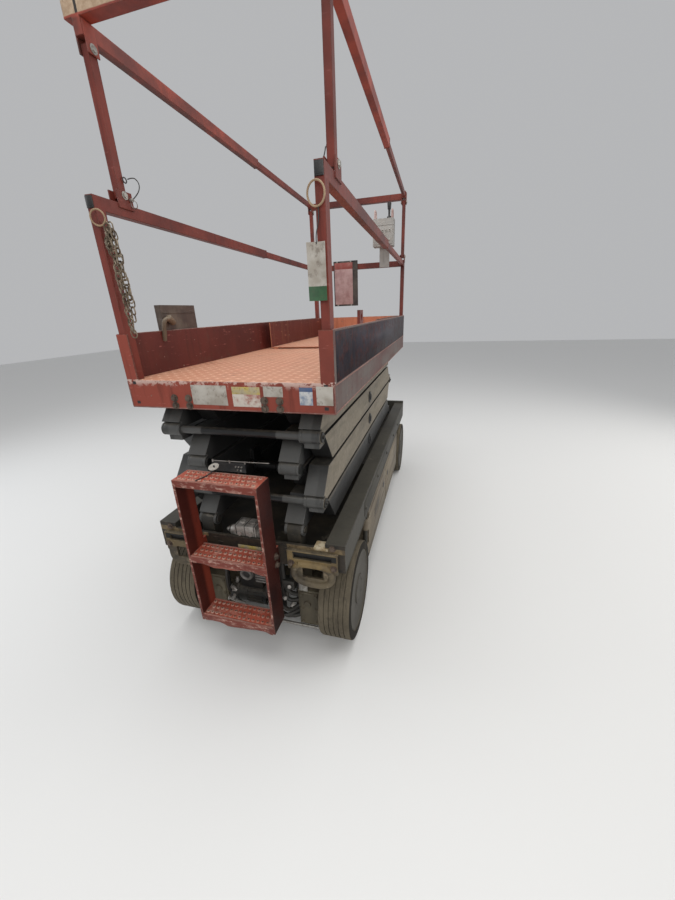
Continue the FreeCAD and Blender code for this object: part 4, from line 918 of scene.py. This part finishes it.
arms = {"near": -0.96, "far": 0.78, "middle": -0.09, "base": 0.56, "pitch": 0.125, "nutFace": 0.319}
nuts = (  # start, end, radius, sides, edge
    (-0.0075, -0.004, 0.032, 6, 0.001), (-0.004, 0.0012, 0.0175, 6, 0), (0, 0.0022, 0.0085, 14, 0.0008))
manifold = {"left": -0.112, "right": 0.022, "face": -0.9865, "low": 0.788, "high": 0.826}


def makePins():
    for side, face, count, order in (("outer", 0.31, 3, ("far", "near")), ("inner", 0.224, 4, ("near", "far"))):
        for number in range(1, count + 1):  # each pair shows the pins at one of its ends
            mesh = bmesh.new()
            y, z = arms[order[number % 2]], arms["base"] + arms["pitch"] * number
            for sign in (-1, 1):
                rod(mesh, (sign * (face + 0.0005), y, z), (sign * (face + 0.0042), y, z), 0.0185, 28, edge=0.001)
                if side == "outer":
                    bolt(mesh, (sign * (face + 0.004), y, z), (sign, 0, 0), 0.012, 0.0055, False)
            done(f"pinEnds{side.title()}{number}", mesh, "pump", f"{side}_arms_{number}")
    for number in range(1, 5):
        mesh = bmesh.new()
        y, z = arms["middle"], arms["base"] + arms["pitch"] * (number - 0.5)
        for sign in (-1, 1):
            for start, end, radius, sides, edge in nuts:
                rod(mesh, (sign * (arms["nutFace"] + start), y, z), (sign * (arms["nutFace"] + end), y, z), radius,
                    sides, edge=edge)
        done(f"centreNuts{number}", mesh, "black", f"outer_arms_{number}")


def makeManifold():
    left, right, face = manifold["left"], manifold["right"], manifold["face"]
    mesh = bmesh.new()
    brick(mesh, (left, face, manifold["low"]), (right, face + 0.006, manifold["high"]), 0.002)
    for x in (left + 0.012, right - 0.014):
        brick(mesh, (x - 0.006, face + 0.005, 0.796), (x + 0.006, -0.96, 0.816))
    done("manifoldPlate", mesh, "black", "inner_arms_2")
    mesh = bmesh.new()
    for x, z in ((-0.016, 0.812), (-0.004, 0.812), (0.008, 0.812), (-0.01, 0.8), (0.004, 0.799)):
        rod(mesh, (x, face, z), (x, face - 0.004, z), 0.0032, 10)
    rod(mesh, (-0.11, face + 0.001, 0.8285), (0.118, face + 0.001, 0.835), 0.0018, 8)
    for x in (-0.11, -0.04, 0.022):
        rod(mesh, (x, face + 0.001, 0.824), (x, face + 0.001, 0.834), 0.003, 8)
    done("manifoldFittings", mesh, "silver", "inner_arms_2")


# Lift cylinder

cylinder = {"radius": 0.046, "grow": 0.0012, "head": 0.026, "collar": (-0.561, -0.549), "bolts": 6,
            "boltCircle": 0.033}
cylinderRun = (  # of the pipe: x, y, height above the barrel
    (0, -0.52, 0.003), (0, -0.518, 0.009), (0.002, -0.5, 0.0105), (0.002, -0.2, 0.0105), (0.002, 0.1, 0.0105),
    (0, 0.118, 0.009), (0, 0.122, 0.003))


def makeCylinder():
    low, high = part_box("lift_barrel")
    end, z = high.y, (low.z + high.z) / 2
    top = z + cylinder["radius"]
    mesh = bmesh.new()
    for start, stop in ((end - cylinder["head"], end), cylinder["collar"]):
        rod(mesh, (0, start, z), (0, stop, z), cylinder["radius"] + cylinder["grow"], 40, edge=0.0015)
    for x, up in circle(cylinder["bolts"], cylinder["boltCircle"]):
        bolt(mesh, (x, end, z + up), (0, 1, 0), 0.009, 0.005, False)
    brick(mesh, (-0.014, -0.535, top - 0.004), (0.014, -0.505, top + 0.004), 0.002)
    brick(mesh, (-0.012, 0.11, top - 0.004), (0.012, 0.134, top + 0.004), 0.002)
    done("cylinderHead", mesh, "arms", "lift_barrel")
    mesh = bmesh.new()
    pipe(mesh, [(x, y, top + rise) for x, y, rise in cylinderRun], 0.0045, 5)
    done("cylinderPipe", mesh, "bolt", "lift_barrel")


# Pump, drive motors and valve block at the rear

pump = {"left": -0.103, "right": 0.039, "radius": 0.042, "flange": 0.012, "bolts": 8, "boltCircle": 0.036, "ribs": 20,
        "bracket": 0.0195, "port": (-0.047, 0.315), "fins": 4, "finLow": 0.287, "finHigh": 0.295, "finPitch": 0.013,
        "elbows": (-25, 35, 100)}
unions = (  # both ends of each
    ((-0.15, -0.982, 0.17), (-0.074, -0.984, 0.152)), ((-0.138, -0.975, 0.214), (-0.108, -0.985, 0.224)),
    ((-0.124, -0.984, 0.236), (-0.098, -0.99, 0.226)), ((0.109, -0.968, 0.214), (0.119, -0.98, 0.219)),
    ((0.138, -0.968, 0.176), (0.152, -0.974, 0.193)), ((0.136, -0.966, 0.278), (0.142, -0.98, 0.284)))
collars = ((-0.15, -0.982, 0.17), (-0.112, -0.983, 0.161), (-0.138, -0.975, 0.214), (0.145, -0.971, 0.184))
pipes = (  # radius, points: risers at both ends, one across, three feeds, a loop, two in the bundle, two at the left
    (0.0065, ((-0.117, -1.008, 0.24), (-0.118, -1.017, 0.251), (-0.122, -1.015, 0.296), (-0.126, -0.997, 0.366),
              (-0.124, -0.977, 0.44))),
    (0.0065, ((0.053, -1.008, 0.24), (0.056, -1.017, 0.251), (0.062, -1.015, 0.296), (0.066, -0.997, 0.366),
              (0.064, -0.977, 0.44))),
    (0.0065, ((-0.117, -1.015, 0.18), (-0.112, -1.019, 0.172), (-0.04, -1.018, 0.156), (0.04, -1.016, 0.158),
              (0.1, -1.007, 0.15), (0.15, -0.98, 0.146), (0.172, -0.95, 0.15))),
    (0.0085, ((0.172, -0.934, 0.214), (0.15, -0.95, 0.222), (0.124, -0.962, 0.246), (0.112, -0.958, 0.3),
              (0.104, -0.945, 0.37), (0.1, -0.93, 0.44))),
    (0.0085, ((0.172, -0.934, 0.19), (0.146, -0.958, 0.19), (0.112, -0.962, 0.206), (0.128, -0.95, 0.262),
              (0.146, -0.94, 0.33), (0.14, -0.925, 0.44))),
    (0.0085, ((0.172, -0.934, 0.166), (0.15, -0.95, 0.15), (0.118, -0.958, 0.132), (0.092, -0.955, 0.148),
              (0.08, -0.957, 0.19), (0.069, -0.957, 0.206))),
    (0.0095, ((0.06, -0.957, 0.19), (0.074, -0.965, 0.13), (0.104, -0.96, 0.104), (0.15, -0.95, 0.104),
              (0.172, -0.94, 0.112))),
    (0.0095, ((0.086, -0.93, 0.11), (0.09, -0.932, 0.2), (0.088, -0.93, 0.3), (0.084, -0.925, 0.44))),
    (0.0105, ((0.148, -0.925, 0.1), (0.16, -0.926, 0.2), (0.158, -0.925, 0.3), (0.165, -0.92, 0.44))),
    (0.0085, ((-0.172, -0.934, 0.19), (-0.16, -0.958, 0.2), (-0.15, -0.965, 0.26), (-0.158, -0.95, 0.34),
              (-0.15, -0.93, 0.44))),
    (0.0095, ((-0.133, -0.957, 0.206), (-0.148, -0.96, 0.18), (-0.152, -0.955, 0.13), (-0.172, -0.94, 0.12))),
)


def makePump():
    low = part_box("drive_pump")[0]
    r, left, right = pump["radius"], pump["left"], pump["right"]
    y, z = low.y + r, low.z + r
    mesh = bmesh.new()
    wide = pump["flange"]
    for x, deep, grow in ((left, wide, 0.003), (right - wide, wide, 0.003), (left + 0.05, 0.004, 0.0015)):
        rod(mesh, (x, y, z), (x + deep, y, z), r + grow, 40, edge=0.0015)
    for across, up in circle(pump["bolts"], pump["boltCircle"], 20):
        for x, out in ((left, -1), (right, 1)):
            bolt(mesh, (x, y + across, z + up), (out, 0, 0), 0.009, 0.005, False)
    for n in range(pump["ribs"]):  # cooling ribs along the casing
        rib = Matrix.Translation(((left + right) / 2 + 0.02, y, z)) @ turned("X", 360 / pump["ribs"] * n)
        rib = rib @ Matrix.Translation((0, 0, r)) @ Matrix.Diagonal((0.07, 0.003, 0.006, 1))
        bmesh.ops.create_cube(mesh, size=1, matrix=rib)
    done("pumpFlanges", mesh, "pump", "chassis")
    mesh = bmesh.new()  # a port ring and a small finned cap on the bracket above
    face, (x, high) = y - pump["bracket"], pump["port"]
    rod(mesh, (x, face, high), (x, face - 0.003, high), 0.03, 32, edge=0.001)
    ring(mesh, (x, face - 0.006, high), (0, 1, 0), 0.0225, 0.0065, 40, 10)
    for n in range(pump["fins"]):
        up = n * pump["finPitch"]
        brick(mesh, (-0.006, face - 0.01, pump["finLow"] + up), (0.042, face + 0.001, pump["finHigh"] + up), 0.0015)
    done("pumpPort", mesh, "portGrey", "chassis")
    # painted shade: a black disc for the dark inside of the port ring and a black block in the gaps between the fins
    mesh = bmesh.new()
    rod(mesh, (x, face - 0.0035, high), (x, face - 0.0045, high), 0.0165, 24)
    brick(mesh, (-0.001, face - 0.008, 0.284), (0.037, face - 0.001, 0.338), 0.002)
    done("pumpPortDark", mesh, "black", "chassis")
    mesh = bmesh.new()
    for x in (left - 0.014, right + 0.014):
        for turn in pump["elbows"]:
            out = Vector((0, -math.cos(math.radians(turn)), math.sin(math.radians(turn))))
            hub = Vector((x, y, z))
            rod(mesh, hub + out * 0.026, hub + out * 0.044, 0.0085, 6)
            rod(mesh, hub + out * 0.044, hub + out * 0.053, 0.006, 14)
    rod(mesh, (left - 0.03, y, z), (left - 0.044, y, z), 0.016, 6)
    rod(mesh, (right + 0.03, y, z), (right + 0.042, y, z), 0.016, 6)
    for start, end in unions:
        rod(mesh, start, end, 0.0078, 12, edge=0.001)
    for centre in collars:
        ring(mesh, centre, (1, 0, -0.2), 0.0085, 0.003, 20)
    done("pumpUnions", mesh, "silver", "chassis")
    mesh = bmesh.new()
    for radius, points in pipes:
        pipe(mesh, points, radius, 5)
    brick(mesh, (0.108, -0.972, 0.262), (0.16, -0.936, 0.306), 0.004)
    done("pumpPipes", mesh, "hose", "chassis")


motor = {"inner": 0.17, "middle": 0.216, "half": 0.04, "low": 0.088, "high": 0.252, "face": -0.96, "hub": 0.195,
         "boltZ": (0.098, 0.17, 0.242), "unionZ": (0.214, 0.19, 0.166)}


def makeMotors():  # covers on the drive motor casings beside the rear tyres, and the brake rod under them
    face, half, hub = motor["face"], motor["half"], motor["hub"]
    mesh = bmesh.new()
    for side in (-1, 1):
        middle = side * motor["middle"]
        brick(mesh, (middle - half, face - 0.004, motor["low"]), (middle + half, face + 0.001, motor["high"]), 0.002)
        for x in (middle - half + 0.008, middle + half - 0.008):
            for h in motor["boltZ"]:
                bolt(mesh, (x, face - 0.0035, h), (0, -1, 0), 0.011, 0.006)
        x = middle - side * 0.007
        rod(mesh, (x, face - 0.003, hub), (x, face - 0.01, hub), 0.015, 28, edge=0.001)
        for h in motor["unionZ"]:
            rod(mesh, (side * motor["inner"], -0.93, h), (side * (motor["inner"] - 0.012), -0.93, h), 0.01, 6)
    done("motorCovers", mesh, "axle", "chassis")
    mesh = bmesh.new()
    rod(mesh, (0.08, -0.966, 0.0755), (0.262, -0.966, 0.0755), 0.006, 12)
    brick(mesh, (0.176, face - 0.002, 0.261), (0.214, face + 0.006, 0.3), 0.001, turned("X", -8))
    done("brakeRod", mesh, "bolt", "chassis")


valve = {"left": -0.0535, "right": 0.0375, "tall": 0.078, "axis": 0.041, "joints": (-0.046, -0.009, 0.03)}
rearLabel = ((-0.04, -1.016, 0.4745), (0.058, -1.0148, 0.4915))
valveTurnings = (  # start, end, radius, sides, end radius, edge: a tapered plug on the left, a cap on the right
    (-0.053, -0.062, 0.03, 6, 0.03, 0.001), (-0.06, -0.082, 0.0225, 28, 0.02, 0.001),
    (-0.081, -0.106, 0.019, 28, 0.006, 0.001), (0.037, 0.047, 0.028, 6, 0.028, 0.001),
    (0.046, 0.062, 0.0215, 28, 0.0215, 0.002))


def makeValve():
    low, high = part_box("valve_block")
    face, back, top, y, z = low.y, high.y, high.z, (low.y + high.y) / 2, high.z - valve["axis"]
    mesh = bmesh.new()
    brick(mesh, (valve["left"], face - 0.001, top - valve["tall"]), (valve["right"], back + 0.001, top + 0.001), 0.003)
    for start, end, radius, sides, tip, edge in valveTurnings:
        rod(mesh, (start, y, z), (end, y, z), radius, sides, tip, edge)
    ring(mesh, (-0.064, y, z), (1, 0, 0), 0.0225, 0.002)
    for x in (-0.03, 0.014):
        rod(mesh, (x, face - 0.001, z + 0.01), (x, face - 0.007, z + 0.01), 0.01, 6)
        rod(mesh, (x, y, top), (x, y, top + 0.006), 0.012, 6)
    done("valveFittings", mesh, "silver", "chassis")
    mesh = bmesh.new()
    for x in valve["joints"]:  # dark joints between the block's slices
        brick(mesh, (x - 0.0012, face - 0.0016, top - 0.08), (x + 0.0012, back + 0.0016, top + 0.0016))
    brick(mesh, (-0.0545, face - 0.002, top - 0.052), (0.0385, face, top - 0.049))
    done("valveJoints", mesh, "black", "chassis")
    mesh = bmesh.new()  # blank yellow label on the chassis plate below the block
    brick(mesh, *rearLabel, 0.0002)
    done("rearLabel", mesh, "cardYellow", "chassis")


# Chassis: seams, bolts, labels and rims at the tie-down plates

chassis = {"side": 0.392, "front": 1.12, "rear": -1.015, "edgeZ": (0.4345, 0.5435),
           "seamBoltY": (-0.64, -0.3, 0.04, 0.38, 0.64), "frontBoltX": (-0.332, -0.24, 0.24, 0.332),
           "frontBoltZ": (0.462, 0.528), "rearBoltX": (-0.352, -0.211, 0.187, 0.352)}
lugs = {"left": -0.2815, "right": 0.2695, "face": -1.029, "thick": 0.0135, "shadow": 0.0745}
lugRim = (  # across and up from the right plate's middle
    (-0.052, 0.4555), (-0.072, 0.437), (-0.078, 0.412), (-0.066, 0.386), (-0.04, 0.371), (0.0, 0.368),
    (0.04, 0.371), (0.066, 0.386), (0.076, 0.412), (0.07, 0.437), (0.052, 0.4555), (0.0, 0.4585), (-0.052, 0.4555))


def makeChassis():
    rear, front = chassis["rear"], chassis["front"]
    mesh = bmesh.new()
    for side in (-1, 1):
        x, rolled = side * chassis["side"], side * (chassis["side"] - 0.001)
        for z in chassis["edgeZ"]:  # rolled edges of the long channels
            rod(mesh, (rolled, -1.013, z), (rolled, 1.094, z), 0.003, 10)
        brick(mesh, (x, -0.66, 0.452), (x + side * 0.0018, 0.66, 0.526), 0.0008)
        for y in chassis["seamBoltY"]:
            bolt(mesh, (x + side * 0.0016, y, 0.489), (side, 0, 0), 0.014, 0.006)
    brick(mesh, (-0.3, front - 0.002, 0.452), (0.3, front - 0.0002, 0.54), 0.0006)
    done("channelSeams", mesh, "chassis", "chassis")
    mesh = bmesh.new()
    for x in chassis["frontBoltX"]:
        for z in chassis["frontBoltZ"]:
            bolt(mesh, (x, front - 0.0075, z), (0, 1, 0), 0.016, 0.0072)
    for x in chassis["rearBoltX"]:
        bolt(mesh, (x, -1.031, 0.456), (0, -1, 0), 0.017, 0.008)
    for x in (-0.345, 0.345):
        bolt(mesh, (x, rear, 0.53), (0, -1, 0), 0.016, 0.007)
    done("chassisBolts", mesh, "dirtyBolt", "chassis")
    left, right = lugs["left"], lugs["right"]
    mesh = bmesh.new()  # torn blank label over the right plate
    brick(mesh, (right + 0.004, rear, 0.5256), (right + 0.066, -0.972, 0.5266), 0.0002)
    brick(mesh, (right + 0.004, rear - 0.0006, 0.516), (right + 0.058, rear + 0.0002, 0.5262), 0.0002)
    done("lugLabels", mesh, "cardTan", "chassis")
    mesh = bmesh.new()  # a thick rounded rim about the right hole
    pipe(mesh, [(right + x, lugs["face"], z) for x, z in lugRim], lugs["thick"])
    done("lugRims", mesh, "lug", "chassis")
    mesh = bmesh.new()
    for x in (left, right):
        brick(mesh, (x - lugs["shadow"], rear - 0.001, 0.474), (x + lugs["shadow"], rear + 0.0001, 0.5035))
    done("lugShadow", mesh, "black", "chassis")


# Side trays: panels, louvres, ribs, latches and slots

tray = {"rear": -0.576, "front": 0.63, "low": 0.16, "high": 0.424, "inset": 0.003,
        "ribs": (0.192, 0.272, 0.352, 0.404), "louvres": 7, "louvrePitch": 0.024, "louvreLow": 0.215,
        "louvreY": (0.42, 0.56), "latches": (-0.08, 0.1), "slots": (0.29, 0.31, 0.33), "slotY": (-0.4, -0.25)}


def makeTrays():
    rear, front, low, high = tray["rear"], tray["front"], tray["low"], tray["high"]
    slotRear, slotFront = tray["slotY"]
    panels = [(rear + 0.012, 0.01, low + 0.012, high - 0.012, 0.0022),
              (0.026, front - 0.012, low + 0.012, high - 0.012, 0.0022)]
    for n in range(tray["louvres"]):
        z = tray["louvreLow"] + n * tray["louvrePitch"]
        panels.append((*tray["louvreY"], z, z + 0.01, 0.0028))
    for side, sign in (("left", -1), ("right", 1)):
        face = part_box("tray_" + side)[sign > 0].x - sign * tray["inset"]
        mesh = bmesh.new()
        for start, end, bottom, top, rise in panels:
            brick(mesh, (face - sign * 0.001, start, bottom), (face + sign * rise, end, top), 0.0008)
        for z in tray["ribs"]:
            x = face + sign * 0.0005
            rod(mesh, (x, rear + 0.02, z), (x, front - 0.02, z), 0.0036, 8)
        done("trayPanels" + side.title(), mesh, "tray", "tray_" + side)
        mesh, x = bmesh.new(), face + sign * 0.002
        for y in tray["latches"]:
            rod(mesh, (x, y, 0.33), (x + sign * 0.001, y, 0.33), 0.022, 28)
            brick(mesh, (x, y - 0.03, 0.325), (x + sign * 0.0028, y + 0.006, 0.335), 0.001)
        for y in (rear + 0.03, -0.01, 0.05, front - 0.03):
            for z in (low + 0.028, high - 0.028):
                bolt(mesh, (face + sign * 0.0015, y, z), (sign, 0, 0), 0.009, 0.0014, False)
        done("trayLatches" + side.title(), mesh, "black", "tray_" + side)
        mesh = bmesh.new()
        for z in tray["slots"]:
            brick(mesh, (face - sign * 0.001, slotRear, z), (face + sign * 0.0026, slotFront, z + 0.01), 0.0006)
        done("traySlots" + side.title(), mesh, "pump", "tray_" + side)


# Axles: bolts and kingpin caps

axles = {"boltX": 0.15, "boltY": (0.84, 0.95), "boltZ": 0.4235, "kingpin": (0.235, 0.895), "rearX": 0.178}
rearAxle = (  # across from the bracket, y, z, facing
    (-0.012, -0.879, 0.3, -1), (-0.012, -0.879, 0.39, -1), (0.012, -0.791, 0.27, 1), (0.012, -0.791, 0.39, 1))


def makeAxles():
    reach, kingpin = axles["kingpin"]
    mesh = bmesh.new()
    for side in (-1, 1):
        for y in axles["boltY"]:
            bolt(mesh, (side * axles["boltX"], y, axles["boltZ"]), (0, 0, -1), 0.014, 0.006)
        rod(mesh, (side * reach, kingpin, 0.2725), (side * reach, kingpin, 0.2735), 0.012)
    done("axleBolts", mesh, "dirtyBolt", "chassis")
    mesh = bmesh.new()
    for side in (-1, 1):
        for shift, y, z, out in rearAxle:
            bolt(mesh, (side * axles["rearX"] + shift, y, z), (0, out, 0), 0.014, 0.006)
    done("rearAxleBolts", mesh, "dirtyBolt", "chassis")


for make in (makeWheels, makeSkirt, makeLadderGrips, makeRailFittings, makeChain, makeTag, makeStepTag, makeBoards,
             makeControlBox, makeSideBox, makePins, makeManifold, makeCylinder, makePump, makeMotors, makeValve,
             makeChassis, makeTrays, makeAxles):
    make()
    print(make.__name__, "done")


# Floor


def makeFloor():
    f = Finish("floorPale")
    seen = f.add("LightPath", out="Is Camera Ray")
    f.paint = f.mix(seen, (0.62, 0.62, 0.61), (0.74, 0.74, 0.73))
    mesh = bmesh.new()
    bmesh.ops.create_grid(mesh, x_segments=1, y_segments=1, size=14)
    data = bpy.data.meshes.new("floor")
    mesh.to_mesh(data)
    mesh.free()
    data.materials.append(f.shade(0.6))
    floor = placed("floor", data)
    floor.location.z = -0.0005


makeFloor()
